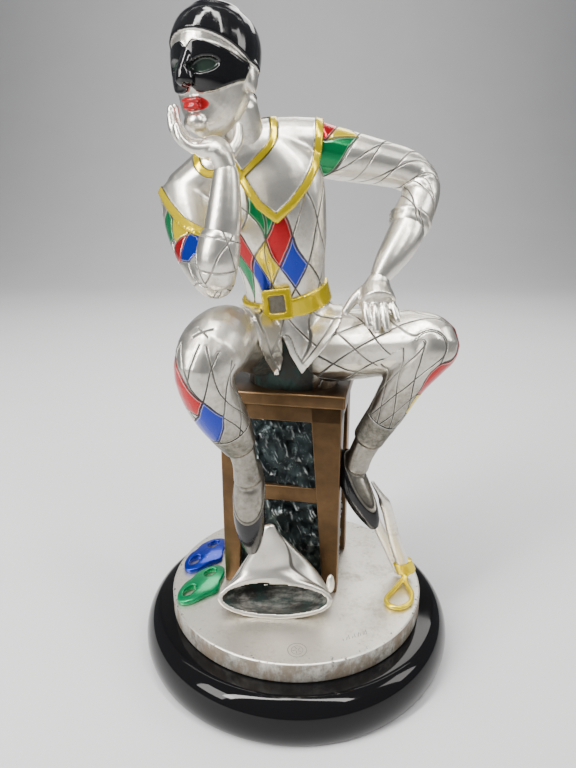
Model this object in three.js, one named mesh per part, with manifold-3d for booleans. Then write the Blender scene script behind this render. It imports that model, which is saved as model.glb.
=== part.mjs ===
// A harlequin of the commedia dell'arte, seated on a stool, on a round silver plate and a black plinth.
// Lengths are millimetres, +Z is up, +X is to the viewer's right and +Y points away from the viewer.
// The origin is the middle of the plinth's underside.

import * as THREE from 'three';
import { mergeVertices } from 'three/addons/utils/BufferGeometryUtils.js';
import Module from 'manifold-3d';

const wasm = await Module();
wasm.setup();

// Driving dimensions
const REST_GAP = 0.3;
const PLINTH_RADIUS = 98;
const PLINTH_HEIGHT = 27.5;
const PLINTH_NOSE = 11;
const PLATE_RADIUS = 80;
const PLATE_THICKNESS = 12.2;
const PLATE_EDGE = 1;
const STOOL_WIDTH = 72.5;
const STOOL_DEPTH = 58;
const STOOL_HEIGHT = 131;
const STOOL_TURN = -11;
const STOOL_X = -5;
const STOOL_Y = 16;
const SEAT_THICKNESS = 8;
const SEAT_OVERHANG = 2.2;
const APRON_HEIGHT = 9.5;
const LEG_FOOT = 9;
const LEG_HEAD = 18;
const RUNG_HEIGHT = 9.6;
const RUNG_LEVEL = 61;
const PANEL_RECESS = 3.2;
const FIGURE_HEIGHT = 280;
const HAT_LENGTH = 73;
const HAT_HEIGHT = 57;
const HAT_WALL = 2.6;
const MASK_LENGTH = 43;
const MASK_WIDTH = 19;
const MASK_RISE = 5.5;
const SLAT_LENGTH = 84;
const SLAT_WIDTH = 8.5;
const SLAT_THICKNESS = 2.4;
const CORD_DIAMETER = 3.2;
const ROUND_SIDES = 40;

const PLATE_TOP = PLINTH_HEIGHT + REST_GAP + PLATE_THICKNESS;
const SEAT_TOP = PLATE_TOP + REST_GAP + STOOL_HEIGHT;
const FIGURE_BASE = SEAT_TOP + REST_GAP;

const SILVER = new THREE.Color(0xa9a496);
const BRONZE = new THREE.Color(0x7a4a22);
const LACQUER = new THREE.Color(0x0a0a0b);
const BLUE = new THREE.Color(0x16219a);
const GREEN = new THREE.Color(0x0b9a52);
const X_AXIS = new THREE.Vector3(1, 0, 0);
const Y_AXIS = new THREE.Vector3(0, 1, 0);

// Closed meshes and solids

function solid(geometry) {
  const bare = geometry.clone();
  bare.deleteAttribute('normal');
  bare.deleteAttribute('uv');
  const merged = mergeVertices(bare, 1e-4);
  return new wasm.Manifold(new wasm.Mesh({
    numProp: 3,
    vertProperties: Float32Array.from(merged.attributes.position.array),
    triVerts: Uint32Array.from(merged.index.array),
  }));
}

function geometryOf(manifold) {
  const mesh = manifold.getMesh();
  const geometry = new THREE.BufferGeometry();
  geometry.setAttribute('position', new THREE.BufferAttribute(Float32Array.from(mesh.vertProperties), 3));
  geometry.setIndex(new THREE.BufferAttribute(Uint32Array.from(mesh.triVerts), 1));
  geometry.computeVertexNormals();
  return geometry;
}

function join(pieces) {
  return pieces.reduce((whole, piece) => whole.add(piece));
}

function box(width, depth, height, x, y, z) {
  return new THREE.BoxGeometry(width, depth, height).translate(x, y, z);
}

// A lathe turned about the Z axis from [radius, height] points
function turned(profile, segments) {
  const points = profile.map(([radius, height]) => new THREE.Vector2(radius, height));
  return new THREE.LatheGeometry(points, segments).rotateX(Math.PI / 2);
}

// An outline in the XZ plane, seen from the front, run from y = near to y = far
function frontPrism(outline, near, far) {
  const shape = new THREE.Shape(outline.map(([x, z]) => new THREE.Vector2(x, z)));
  const geometry = new THREE.ExtrudeGeometry(shape, { depth: far - near, bevelEnabled: false });
  return geometry.rotateX(Math.PI / 2).translate(0, far, 0);
}

// A closed skin over elliptical rings, with a low dome at each end
function skin(rings, sides, dome) {
  const first = rings[0];
  const last = rings[rings.length - 1];
  const rise = (ring, sign, share) => ring.centre.clone()
    .addScaledVector(ring.along, sign * share * dome * Math.min(ring.width, ring.depth));
  const endRing = (ring, sign) => ({
    ...ring,
    centre: rise(ring, sign, 0.7),
    width: ring.width * 0.72,
    depth: ring.depth * 0.72,
  });
  const all = dome > 0 ? [endRing(first, -1), ...rings, endRing(last, 1)] : rings;
  const positions = [];
  for (const ring of all) {
    for (let step = 0; step < sides; step += 1) {
      const angle = (2 * Math.PI * step) / sides;
      const point = ring.centre.clone()
        .addScaledVector(ring.across, ring.width * Math.cos(angle))
        .addScaledVector(ring.through, ring.depth * Math.sin(angle));
      positions.push(point.x, point.y, point.z);
    }
  }
  const start = rise(first, -1, 1);
  const end = rise(last, 1, 1);
  positions.push(start.x, start.y, start.z, end.x, end.y, end.z);
  const startIndex = all.length * sides;
  const top = startIndex - sides;
  const indices = [];
  for (let step = 0; step < sides; step += 1) {
    const next = (step + 1) % sides;
    indices.push(startIndex, next, step, startIndex + 1, top + step, top + next);
    for (let row = 0; row + 1 < all.length; row += 1) {
      const low = row * sides;
      const high = low + sides;
      indices.push(low + step, low + next, high + next, low + step, high + next, high + step);
    }
  }
  const geometry = new THREE.BufferGeometry();
  geometry.setAttribute('position', new THREE.BufferAttribute(Float32Array.from(positions), 3));
  geometry.setIndex(indices);
  return geometry;
}

// Elliptical rings along a path: each station is [x, y, z, half width, half depth], square to the path,
// and a ring's width lies along the side direction
function loft(stations, { side = X_AXIS, sides = 10, grow = 0, dome = 0.55 } = {}) {
  const centres = stations.map(([x, y, z]) => new THREE.Vector3(x, y, z));
  const rings = stations.map(([, , , width, depth = width], index) => {
    const before = centres[Math.max(index - 1, 0)];
    const after = centres[Math.min(index + 1, centres.length - 1)];
    const along = after.clone().sub(before).normalize();
    const across = side.clone().addScaledVector(along, -side.dot(along)).normalize();
    const through = along.clone().cross(across);
    return { centre: centres[index], along, across, through, width: width + grow, depth: depth + grow };
  });
  return skin(rings, sides, dome);
}

function ellipsoid(centre, [width, depth, height], across, down) {
  return new THREE.SphereGeometry(1, across, down).rotateX(Math.PI / 2)
    .scale(width, depth, height).translate(...centre);
}

const object = new THREE.Group();

function addPiece(name, geometry, color, roughness, metalness) {
  const piece = new THREE.Mesh(geometry, new THREE.MeshStandardMaterial({ color, roughness, metalness }));
  piece.name = name;
  object.add(piece);
}

// Plinth: a turned black disc with a flat top and a bullnose edge that tucks in at the foot

const FOOT_TUCK = 5;
const WAIST_SHARE = 0.4;

function sweep(from, to, steps, pointAt) {
  return Array.from({ length: steps + 1 }, (_, index) => pointAt(from + ((to - from) * index) / steps));
}

function plinthProfile() {
  const waist = PLINTH_HEIGHT * WAIST_SHARE;
  const lower = sweep(-Math.PI / 2, 0, 2, (angle) => [
    PLINTH_RADIUS - FOOT_TUCK + FOOT_TUCK * Math.cos(angle), waist + waist * Math.sin(angle)]);
  const upper = sweep(0, Math.PI / 2, 4, (angle) => [
    PLINTH_RADIUS - PLINTH_NOSE + PLINTH_NOSE * Math.cos(angle),
    waist + (PLINTH_HEIGHT - waist) * Math.sin(angle)]);
  return [[0, 0], ...lower, ...upper.slice(1), [0, PLINTH_HEIGHT]];
}

addPiece('plinth', turned(plinthProfile(), ROUND_SIDES), LACQUER, 0.12, 0);

// Base plate: a round slab with softened edges, on the plinth
function plateProfile() {
  const low = PLINTH_HEIGHT + REST_GAP;
  return [[0, low], [PLATE_RADIUS - PLATE_EDGE, low], [PLATE_RADIUS, low + PLATE_EDGE],
    [PLATE_RADIUS, PLATE_TOP - PLATE_EDGE], [PLATE_RADIUS - PLATE_EDGE, PLATE_TOP], [0, PLATE_TOP]];
}

addPiece('base_plate', turned(plateProfile(), ROUND_SIDES), SILVER, 0.35, 0.85);

// Stool: seat slab, apron, four legs that taper on their inner sides, rungs, and rough recessed panels

const SEAT_BEVEL = 0.16;
const RUNG_SET_BACK = 0.35;

function taperedLeg(signX, signY, outerX, outerY, height, grown) {
  const leg = new THREE.BoxGeometry(1, 1, height);
  const position = leg.attributes.position;
  for (let index = 0; index < position.count; index += 1) {
    const size = grown + (position.getZ(index) > 0 ? LEG_HEAD : LEG_FOOT);
    const inX = position.getX(index) * signX > 0 ? 0 : size;
    const inY = position.getY(index) * signY > 0 ? 0 : size;
    position.setX(index, signX * (outerX - inX));
    position.setY(index, signY * (outerY - inY));
  }
  return leg.translate(0, 0, height / 2);
}

function stoolSolid(clearance = 0) {
  const halfX = STOOL_WIDTH / 2;
  const halfY = STOOL_DEPTH / 2;
  const slab = new THREE.Shape();
  const slabX = halfX + SEAT_OVERHANG + clearance;
  const slabY = halfY + SEAT_OVERHANG + clearance;
  slab.moveTo(-slabX, -slabY);
  slab.lineTo(slabX, -slabY);
  slab.lineTo(slabX, slabY);
  slab.lineTo(-slabX, slabY);
  const bevel = SEAT_THICKNESS * SEAT_BEVEL;
  const seat = new THREE.ExtrudeGeometry(slab, {
    depth: SEAT_THICKNESS - 2 * bevel + 2 * clearance,
    bevelThickness: bevel, bevelSize: bevel, bevelOffset: -bevel, bevelSegments: 2,
  }).translate(0, 0, STOOL_HEIGHT - SEAT_THICKNESS + bevel - clearance);
  const legHeight = STOOL_HEIGHT - SEAT_THICKNESS + bevel;
  const grown = 2 * clearance;
  const apronZ = STOOL_HEIGHT - SEAT_THICKNESS - APRON_HEIGHT / 2;
  const apronHeight = APRON_HEIGHT + bevel;
  const apron = box(STOOL_WIDTH + grown, STOOL_DEPTH + grown, apronHeight, 0, 0, apronZ + bevel / 2);
  const coreX = STOOL_WIDTH - 2 * PANEL_RECESS + grown;
  const coreY = STOOL_DEPTH - 2 * PANEL_RECESS + grown;
  const core = box(coreX, coreY, legHeight, 0, 0, legHeight / 2);
  const rungFace = PANEL_RECESS * RUNG_SET_BACK;
  const rung = box(STOOL_WIDTH - 2 * rungFace + grown, STOOL_DEPTH - 2 * rungFace + grown,
    RUNG_HEIGHT + grown, 0, 0, RUNG_LEVEL + RUNG_HEIGHT / 2);
  const pieces = [seat, apron, core, rung];
  for (const signX of [-1, 1]) {
    for (const signY of [-1, 1]) {
      pieces.push(taperedLeg(signX, signY, halfX + clearance, halfY + clearance, legHeight, grown));
    }
  }
  return join(pieces.map((piece) => solid(piece)));
}

function onStoolPlace(manifold) {
  return manifold.rotate([0, 0, STOOL_TURN]).translate([STOOL_X, STOOL_Y, PLATE_TOP + REST_GAP]);
}

const stoolRoom = onStoolPlace(stoolSolid(REST_GAP));

addPiece('stool', geometryOf(onStoolPlace(stoolSolid())), BRONZE, 0.4, 0.7);

// Hat: a soft peaked hat lying on its side, its mouth towards the viewer, its peak against the stool.
// Each ring is [x, y, z, half width, half depth, lean], from the mouth to the peak, in shares of the hat's
// length and height. The mouth's upper edge runs up the crown's front, its lower edge up the back.

const HAT_X = -13;
const HAT_Y = -38;
const HAT_TILT = 0.2;
const HAT_SIDES = 16;
const HOLLOW_RINGS = 4;
const HAT_RINGS = [
  [-0.005, -0.04, 0.2, 0.465, 0.2, 76],
  [-0.005, 0.045, 0.215, 0.44, 0.22, 106],
  [-0.01, 0.13, 0.33, 0.36, 0.22, 124],
  [-0.025, 0.145, 0.53, 0.25, 0.165, 136],
  [-0.04, 0.135, 0.71, 0.15, 0.1, 150],
  [-0.05, 0.125, 0.86, 0.075, 0.06, 165],
  [-0.05, 0.12, 0.96, 0.034, 0.034, 180],
];

function abovePlate() {
  const across = 4 * PLATE_RADIUS;
  return solid(box(across, across, FIGURE_BASE, 0, 0, PLATE_TOP + REST_GAP + FIGURE_BASE / 2));
}

function hatRings(count, grow, forward) {
  const across = new THREE.Vector3(-1, 0, -HAT_TILT).normalize();
  return HAT_RINGS.slice(0, count).map(([x, y, z, width, depth, lean], index) => {
    const angle = THREE.MathUtils.degToRad(lean);
    const through = new THREE.Vector3(0, Math.cos(angle), Math.sin(angle));
    through.addScaledVector(across, -across.dot(through)).normalize();
    const centre = new THREE.Vector3(x * HAT_LENGTH, y * HAT_LENGTH, z * HAT_HEIGHT);
    centre.add(new THREE.Vector3(HAT_X, HAT_Y, PLATE_TOP));
    const along = across.clone().cross(through);
    if (index === 0) {
      centre.addScaledVector(along, -forward);
    }
    const sizes = { width: width * HAT_LENGTH + grow, depth: depth * HAT_HEIGHT + grow };
    return { centre, along, across, through, ...sizes };
  });
}

function hatSolid(clearance = 0) {
  const crown = solid(skin(hatRings(HAT_RINGS.length, clearance, 0), HAT_SIDES, 0));
  const tipPlace = [HAT_X + HAT_LENGTH * 0.445, HAT_Y - HAT_LENGTH * 0.035, PLATE_TOP + HAT_HEIGHT * 0.4];
  const tipSize = [0.032, 0.032, 0.085].map((share) => share * HAT_LENGTH + clearance);
  const tip = solid(ellipsoid(tipPlace, tipSize, 8, 6));
  const outer = crown.add(tip);
  if (clearance > 0) {
    return outer;
  }
  const hollow = solid(skin(hatRings(HOLLOW_RINGS, -HAT_WALL, HAT_WALL), HAT_SIDES, 0));
  return outer.subtract(hollow).intersect(abovePlate()).subtract(stoolRoom);
}

addPiece('hat', geometryOf(hatSolid()), SILVER, 0.3, 0.85);

// Two eye masks lying on the plate: low domes with a nose lobe and two eye holes

function maskOutline(length, width) {
  const points = [];
  const count = 16;
  for (let index = 0; index < count; index += 1) {
    const angle = (2 * Math.PI * index) / count;
    const along = Math.cos(angle);
    const across = Math.sin(angle);
    const brow = across > 0 ? -0.16 * Math.exp(-((along / 0.22) ** 2)) : 0;
    const nose = across < 0 ? 0.34 * Math.exp(-((along / 0.26) ** 2)) : 0;
    points.push(new THREE.Vector2((length / 2) * along, (width / 2) * across * (1 + brow + nose)));
  }
  return new THREE.Shape(points);
}

function maskSolid(clearance = 0) {
  const length = MASK_LENGTH + 2 * clearance;
  const width = MASK_WIDTH + 2 * clearance;
  const bevel = MASK_RISE * 0.42;
  const body = solid(new THREE.ExtrudeGeometry(maskOutline(length - bevel, width - bevel), {
    depth: MASK_RISE * 0.3, bevelThickness: bevel, bevelSize: bevel * 0.5, bevelSegments: 1,
  }).translate(0, 0, bevel * 0.2));
  const dome = solid(ellipsoid([0, 0, 0], [length * 0.56, width * 0.72, MASK_RISE + clearance], 10, 6));
  const low = solid(box(2 * length, 4 * width, MASK_RISE, 0, 0, -MASK_RISE / 2));
  const shell = body.intersect(dome).subtract(low);
  if (clearance > 0) {
    return shell;
  }
  const eye = new THREE.CylinderGeometry(1, 1, 4 * MASK_RISE, 8).rotateX(Math.PI / 2)
    .scale(MASK_LENGTH * 0.11, MASK_WIDTH * 0.13, 1);
  const eyes = [-1, 1].map((sign) => solid(eye.clone().rotateZ(0.12 * sign)
    .translate(sign * MASK_LENGTH * 0.25, MASK_WIDTH * 0.06, 0)));
  return shell.subtract(eyes[0]).subtract(eyes[1]);
}

// Where each mask lies, in shares of the plate's radius
const BLUE_PLACE = { x: -0.775, y: 0.256, turn: 62 };
const GREEN_PLACE = { x: -0.756, y: -0.156, turn: 60 };

function placeMask(manifold, { x, y, turn }) {
  return manifold.rotate([0, 0, turn]).translate([x * PLATE_RADIUS, y * PLATE_RADIUS, PLATE_TOP + REST_GAP]);
}

const blueMask = placeMask(maskSolid(), BLUE_PLACE).subtract(stoolRoom);
addPiece('mask_blue', geometryOf(blueMask), BLUE, 0.15, 0);
const greenMask = placeMask(maskSolid(), GREEN_PLACE)
  .subtract(placeMask(maskSolid(REST_GAP), BLUE_PLACE)).subtract(stoolRoom);
addPiece('mask_green', geometryOf(greenMask), GREEN, 0.15, 0);

// Slapstick: two thin slats bound together with cord at the foot, leaning up to the figure's left shoe,
// and the spare cord lying in a loop on the plate

const SLAT = SLAT_LENGTH / 84;
const SLAT_FOOT = new THREE.Vector3(73, -3.5, PLATE_TOP + 1.8);

function slatSolid(stations, grow) {
  const placed = stations.map(([x, y, z, width, depth]) => [
    SLAT_FOOT.x + x * SLAT, SLAT_FOOT.y + y * SLAT, SLAT_FOOT.z + z * SLAT,
    (width * SLAT_WIDTH) / 2, (depth * SLAT_THICKNESS) / 2]);
  return solid(loft(placed, { side: new THREE.Vector3(0.9, 0.3, 0.3), sides: 6, grow, dome: 0.5 }));
}

const FRONT_SLAT = [
  [0, 0, 0, 0.8, 1.3], [-3, -2, 8, 1, 1.3], [-11, -6.5, 30, 0.95, 1.2], [-17.5, -10.5, 53, 0.85, 1.2],
  [-20, -11.5, 60, 0.85, 1.5], [-22.5, -12, 65, 0.5, 1.3], [-28, -12, 74, 0.25, 0.9],
];
const BACK_SLAT = [
  [-5, 2.5, 1, 0.85, 1.2], [-13, -1, 20, 0.85, 1.1], [-22, -4.5, 40, 0.8, 1], [-25, -5.5, 48, 0.6, 1],
];
const BINDING = [[-1.6, -1, 4.5, 1.55, 3], [-4.6, -1.5, 12, 1.5, 3]];
const CORD_LOOP = [
  [-3, -2, 7], [-4, -5, 1.5], [-11, -14, 0], [-17.5, -23, 0], [-17, -29.5, 0], [-11, -32, 0],
  [-4, -27.5, 0], [-1, -19, 0], [-2.5, -10, 0.6], [-2.5, -5, 2.2], [-2.5, -2, 7],
];

function cordSolid(grow) {
  const points = CORD_LOOP.map((point) => new THREE.Vector3(...point).multiplyScalar(SLAT).add(SLAT_FOOT));
  const section = new THREE.Shape();
  section.absarc(0, 0, CORD_DIAMETER / 2 + grow, 0, 2 * Math.PI);
  return solid(new THREE.ExtrudeGeometry(section, {
    steps: 20, curveSegments: 2, bevelEnabled: false, extrudePath: new THREE.CatmullRomCurve3(points),
  }));
}

function slapstickSolid(grow = 0) {
  const slats = [FRONT_SLAT, BACK_SLAT, BINDING].map((stations) => slatSolid(stations, grow));
  return join([...slats, cordSolid(grow)]).intersect(abovePlate());
}

addPiece('slapstick', geometryOf(slapstickSolid().subtract(stoolRoom)), SILVER, 0.3, 0.85);

// Figure: one casting. Its pose is written in 280ths of its height, from the plate's axis and the seat's top.
// Each station is [x, y, z, half width, half depth].

const SHARE = FIGURE_HEIGHT / 280;
const SPINE_SIDE = new THREE.Vector3(0.96, 0.22, 0.18);
const COLLAR_RISE = 1.3;
const BORDER_RISE = 2.2;
const BORDER_WIDTH = 3.6;
const BORDER_LIP = 0.2;
const SKIRT_RISE = 1.6;
const TORSO_SIDES = 12;
const LEG_SIDES = 12;

function place([x, y, z, ...sizes]) {
  return [x * SHARE, y * SHARE, FIGURE_BASE + z * SHARE, ...sizes.map((size) => size * SHARE)];
}

function limb(stations, options = {}) {
  const grow = (options.grow ?? 0) * SHARE;
  return solid(loft(stations.map(place), { ...options, grow }));
}

const TORSO = [
  [-1, 15, 4, 29, 23], [-2, 11, 17, 29, 24], [-3.5, 8, 32, 27, 21.5], [-6, 6, 45, 24, 18.5],
  [-7, 5, 56, 23.4, 17.6], [-9, 3.5, 71, 25, 19], [-12, 2, 86, 29, 20.5], [-17, 1, 102, 33.5, 21],
  [-21.5, 1, 116, 34, 18.5], [-25, 1, 127, 26, 15],
];
const YOKE = [
  [-59, -8, 105.5, 13.5, 13], [-43, -4, 117, 15.5, 12.5], [-27, 0, 127, 15.5, 12], [-8, 5, 131.5, 14.5, 12],
  [9, 8, 132, 14, 13.5],
];
const NECK = [[-26, 0, 124, 12.5], [-28, -7, 138, 10.5], [-31, -12, 150, 10.5]];
const LEFT_SLEEVE = [
  [10, 8, 131.4, 14.2], [25.8, 11, 128.2, 13.4], [48, 15, 124.2, 11.8], [61.5, 17, 120.6, 11.2],
  [69, 16, 114, 10.6], [68.2, 10.5, 106, 10.6], [62.2, 2, 95.2, 11.4], [60.4, -0.5, 91.6, 11.4],
];
const LEFT_CUFF = [[62, 1.5, 95, 9.6], [57, -6, 85.2, 9.8], [49, -14, 74.4, 8], [43, -19, 66, 5.4]];
const RIGHT_SLEEVE = [
  [-58.5, -8, 105.5, 14.3], [-56, -20, 93.5, 12.8], [-50.5, -36, 81.5, 11.2], [-42, -51, 72, 10.4],
  [-38.4, -57.5, 70, 9.4],
];
const RIGHT_FORESLEEVE = [[-39, -56, 70.5, 9.2], [-38.3, -58, 79, 10.3], [-36.4, -57, 89.5, 9.6]];
const RIGHT_CUFF = [
  [-36.5, -57, 88, 8.4], [-34.9, -56, 97, 8.4], [-33.6, -54.5, 111, 6.8], [-33.3, -53.5, 119, 5.4],
];
const RIGHT_LEG = [
  [-16, 10, 22, 22.5], [-27.5, -18, 31.5, 17.5], [-36, -44, 38.8, 15.8], [-40.5, -65, 38.5, 16.6],
  [-44, -72, 30.5, 14.6], [-43, -70, 19, 13.2], [-38.7, -64.5, 6.5, 12.7], [-33.6, -59.5, -5.5, 10.9],
  [-30, -57, -14, 8.8],
];
const LEFT_LEG = [
  [9, 10, 23, 24], [31, -7, 27, 20.8], [51, -20, 31, 18], [62, -28, 33.2, 16.8], [69.5, -33.5, 29.5, 15.2],
  [62.5, -32.5, 19, 13], [57, -28, 8, 11.2], [50.8, -22, -7.5, 10.2], [44.8, -18, -20, 9.5],
  [41.5, -16, -27, 9.2],
];
const RIGHT_ANKLE = [[-30.5, -57, -12, 7.4], [-27.8, -55, -24, 6.6, 7], [-26.6, -53, -34, 7.6, 9.5]];
const LEFT_ANKLE = [[43, -16.5, -25, 8.2], [38, -13.5, -38, 7.4], [35.5, -11.5, -47, 7.6, 9]];
const RIGHT_SHOE = [
  [-25, -48, -28, 5.6, 5], [-26, -51, -38, 7.8, 9], [-26.3, -53, -50, 8, 8.2], [-26, -52.5, -62, 7.6, 6.4],
  [-25.6, -51, -73, 5.6, 4.6], [-25.4, -50, -80, 3, 2.8],
];
const LEFT_SHOE = [
  [29.5, -6.5, -42, 5, 5], [32.5, -10, -52, 7.6, 8.6], [36.5, -15, -62, 8, 8], [41, -19, -70.5, 6.8, 6.6],
  [44.6, -21.5, -77.5, 4.6, 4.6], [46, -22.5, -81.5, 2.6, 2.6],
];
const LEFT_PALM = [[43, -19, 66, 5.4, 4.8], [41.5, -22, 59.5, 8.4, 4.6], [41.5, -26.5, 54, 10, 4.4]];
const RIGHT_PALM = [[-33.3, -53.5, 119, 5, 5.2], [-36, -52.5, 126, 5.4, 7.4], [-41.5, -50.5, 129, 4.4, 9]];
const LEFT_FINGERS = [
  [[35.5, -26.5, 54.5, 2.6], [35, -31.5, 50.5, 2.4], [36.5, -35, 43.5, 1.9]],
  [[39.5, -28, 54, 2.7], [39.8, -33.5, 49.5, 2.5], [40.5, -36.5, 41.5, 2]],
  [[43.8, -28, 54, 2.7], [44.6, -33, 49, 2.4], [45.6, -36, 42, 1.9]],
  [[48, -26.5, 54, 2.5], [50, -30.5, 51, 2.2], [51.5, -33.5, 46, 1.8]],
  [[35.5, -21, 60, 3.2], [29.5, -25, 55.5, 2.8], [24.5, -29, 49.5, 2]],
];
const RIGHT_FINGERS = [
  [[-42, -43.5, 130, 2.5], [-50, -43.5, 131.5, 2.4], [-55.5, -43, 138, 2.2], [-57, -41.5, 146, 1.8]],
  [[-42, -47.5, 129, 2.6], [-50.5, -47.5, 130, 2.5], [-56.5, -47, 137, 2.3], [-58, -45.5, 145, 1.8]],
  [[-41.5, -52, 128.5, 2.6], [-50, -52, 129, 2.4], [-56, -51.5, 135, 2.2], [-57.5, -50, 142, 1.8]],
  [[-40.5, -56.5, 127.5, 2.4], [-47.5, -56.5, 127.5, 2.2], [-52.5, -56, 131.5, 2], [-54.5, -54.5, 137, 1.6]],
  [[-33, -50, 124, 3.2], [-28.5, -46.5, 131, 2.8], [-28, -43, 138, 2.1]],
];

// Head, in its own frame: it faces -Y, and turns to the viewer's left

const HEAD_PLACE = [-39.6, -23, 164];
const HEAD_TURN = -30;
const CAP_RISE = 1.5;
const MASK_STEP = 1.2;
const SKULL = [
  [0, -15, -25, 6.5, 6], [0, -9.5, -20.5, 12.5, 13], [0, -5, -14, 15.6, 17.5], [0, -2, -5, 17.8, 20.5],
  [0, 0, 4, 19, 22.2], [0, 1, 12, 18.8, 21.8], [0, 1.5, 19, 16, 18.8], [0, 2, 23.6, 11, 13.4],
];
const NOSE = [[0, -19.5, 5, 2, 2.5], [0, -22.5, -2, 2.6, 3.6], [0, -23.5, -7, 3.4, 3.6]];

function inHead(manifold) {
  return manifold.scale([SHARE, SHARE, SHARE]).rotate([0, 0, HEAD_TURN]).translate(place(HEAD_PLACE));
}

// A half mask's outline across the face: a full brow line and cheeks that hang lower beside the nose
function halfMaskOutline() {
  return sweep(0, (2 * Math.PI * 13) / 14, 13, (angle) => {
    const drop = Math.sin(angle) < 0 ? 1.25 - 0.3 * Math.abs(Math.cos(angle)) : 0.8;
    return [19.5 * Math.cos(angle), -1 + 10.5 * drop * Math.sin(angle)];
  });
}

function headSolid() {
  const skull = (grow) => solid(loft(SKULL, { sides: 12, grow, dome: 0.4 }));
  const nose = solid(loft(NOSE, { sides: 8 }));
  const lips = [-15.2, -17.6].map((z) => solid(ellipsoid([0, -20.4, z], [5.6, 2.2, 1.5], 8, 4)));
  const chin = solid(ellipsoid([0, -17.5, -24], [6, 4.6, 4.4], 8, 5));
  const ears = [-1, 1].map((sign) => solid(ellipsoid([sign * 18.6, 2.5, -4], [2.4, 4.4, 6.8], 6, 6)));
  const capSpace = solid(box(80, 80, 60, 0, 0, 30)).rotate([-30, 0, 0]).translate([0, -23, 15]);
  const cap = skull(CAP_RISE).intersect(capSpace);
  const maskSpace = solid(frontPrism(halfMaskOutline(), -40, 2));
  const socket = (sign) => solid(ellipsoid([sign * 8, -24.5, -0.5], [5.4, 3.6, 3.4], 8, 6));
  const domino = join([skull(MASK_STEP), nose.scale([1.15, 1.03, 1.1])]).intersect(maskSpace);
  const mask = domino.subtract(socket(-1)).subtract(socket(1));
  const eyes = [-1, 1].map((sign) => solid(ellipsoid([sign * 7.4, -18.6, -0.6], [3.6, 3, 2.8], 6, 4)));
  return inHead(join([skull(0), nose, ...lips, chin, ...ears, cap, mask, ...eyes]));
}

// Two-point collar with a raised border and a round neckline, cut from the shoulders' own form

const COLLAR = [
  [12.8, 152], [10.6, 126], [-11.5, 93.8], [-34, 120], [-40, 86.2], [-58, 93.6], [-76, 112], [-76, 152],
];
const NECK_BAND = 1.9;
const NECK_WIDE = 20.5;
const NECK_DEEP = 17;

function frontOutline(points) {
  return points.map(([x, z]) => [x * SHARE, FIGURE_BASE + z * SHARE]);
}

// A strip along the line between two points, from one distance beside the line to another
function strip([x0, z0], [x1, z1], from, to) {
  const angle = Math.atan2(z1 - z0, x1 - x0);
  const beside = (x, z, distance) => [x - Math.sin(angle) * distance, z + Math.cos(angle) * distance];
  return [beside(x0, z0, from), beside(x1, z1, from), beside(x1, z1, to), beside(x0, z0, to)];
}

function shoulders(grow) {
  const arm = (stations) => stations.slice(0, 3);
  return join([
    limb(TORSO.slice(4), { side: SPINE_SIDE, sides: TORSO_SIDES, grow }),
    limb(YOKE, { side: Y_AXIS, grow }),
    limb(arm(LEFT_SLEEVE), { side: Y_AXIS, grow }),
    limb(arm(RIGHT_SLEEVE), { grow }),
  ]);
}

// The neckline runs round the shoulders where a leaning, softly squared tube round the neck meets them
function necklineTube(reach) {
  const outline = sweep(0, 2 * Math.PI, 10, (angle) => {
    const [c, s] = [Math.cos(angle), Math.sin(angle)];
    const size = 1 / Math.pow(c ** 4 + s ** 4, 0.25);
    return new THREE.Vector2((NECK_WIDE + reach) * c * size, (NECK_DEEP + reach) * s * size);
  }).slice(0, -1);
  const tube = new THREE.ExtrudeGeometry(new THREE.Shape(outline), { depth: 44, bevelEnabled: false });
  const leaning = new THREE.Matrix4().set(
    1, 0, -0.11, -17.5, 0.328, 1.093, -0.437, 52.3, 0, 0, 1, 0, 0, 0, 0, 1);
  return solid(tube.translate(0, 0, 108).applyMatrix4(leaning).scale(SHARE, SHARE, SHARE)
    .translate(0, 0, FIGURE_BASE));
}

function collarSolid() {
  const near = -60 * SHARE;
  const far = 40 * SHARE;
  const cloth = shoulders(COLLAR_RISE).intersect(solid(frontPrism(frontOutline(COLLAR), near, far)));
  const edges = COLLAR.slice(1, -2).map((point, index) => solid(frontPrism(
    frontOutline(strip(COLLAR[index + 2], point, BORDER_LIP, -BORDER_WIDTH)), near, far)));
  const neckline = necklineTube(NECK_BAND).subtract(necklineTube(-NECK_BAND));
  return cloth.add(shoulders(BORDER_RISE).intersect(join([...edges, neckline])));
}

// Belt, buckle and the tunic's pointed skirt

const BELT = [[-5, 6.2, 46.2, 25.8, 20], [-7.6, 4.8, 57.6, 25.6, 19.8]];
const BELT_SIDE = new THREE.Vector3(0.95, 0.2, 0.3);

function beltSolid() {
  const belt = limb(BELT, { side: BELT_SIDE, sides: TORSO_SIDES, dome: 0 });
  const frame = solid(box(16.2, 3.4, 16.6, 0, 0, 0)).subtract(solid(box(9.2, 8, 9.4, 0, 0, 0)));
  const buckle = frame.scale([SHARE, SHARE, SHARE]).rotate([-6, -8, -12])
    .translate(place([-11.2, -16.4, 51.2]));
  return join([belt, buckle]);
}

const SKIRT_FRONT = [[-36, 46], [-31, 45], [-11, 9], [-7, 30], [3.5, 10.5], [27, 46], [28, 58]];
const SKIRT_BACK = [
  [-36, 46], [-36, 26], [-23, 8], [-11, 22], [0, 6], [11, 22], [23, 8], [34, 26], [34, 60],
];
const RIGHT_THIGH = [[-16, 10, 22, 24.2], [-27, -18, 31.5, 19.6], [-36, -44, 38.8, 14.4]];
const LEFT_THIGH = [[9, 10, 23, 25.6], [31, -7, 27, 22.2], [51, -20, 31, 16.4]];

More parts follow.
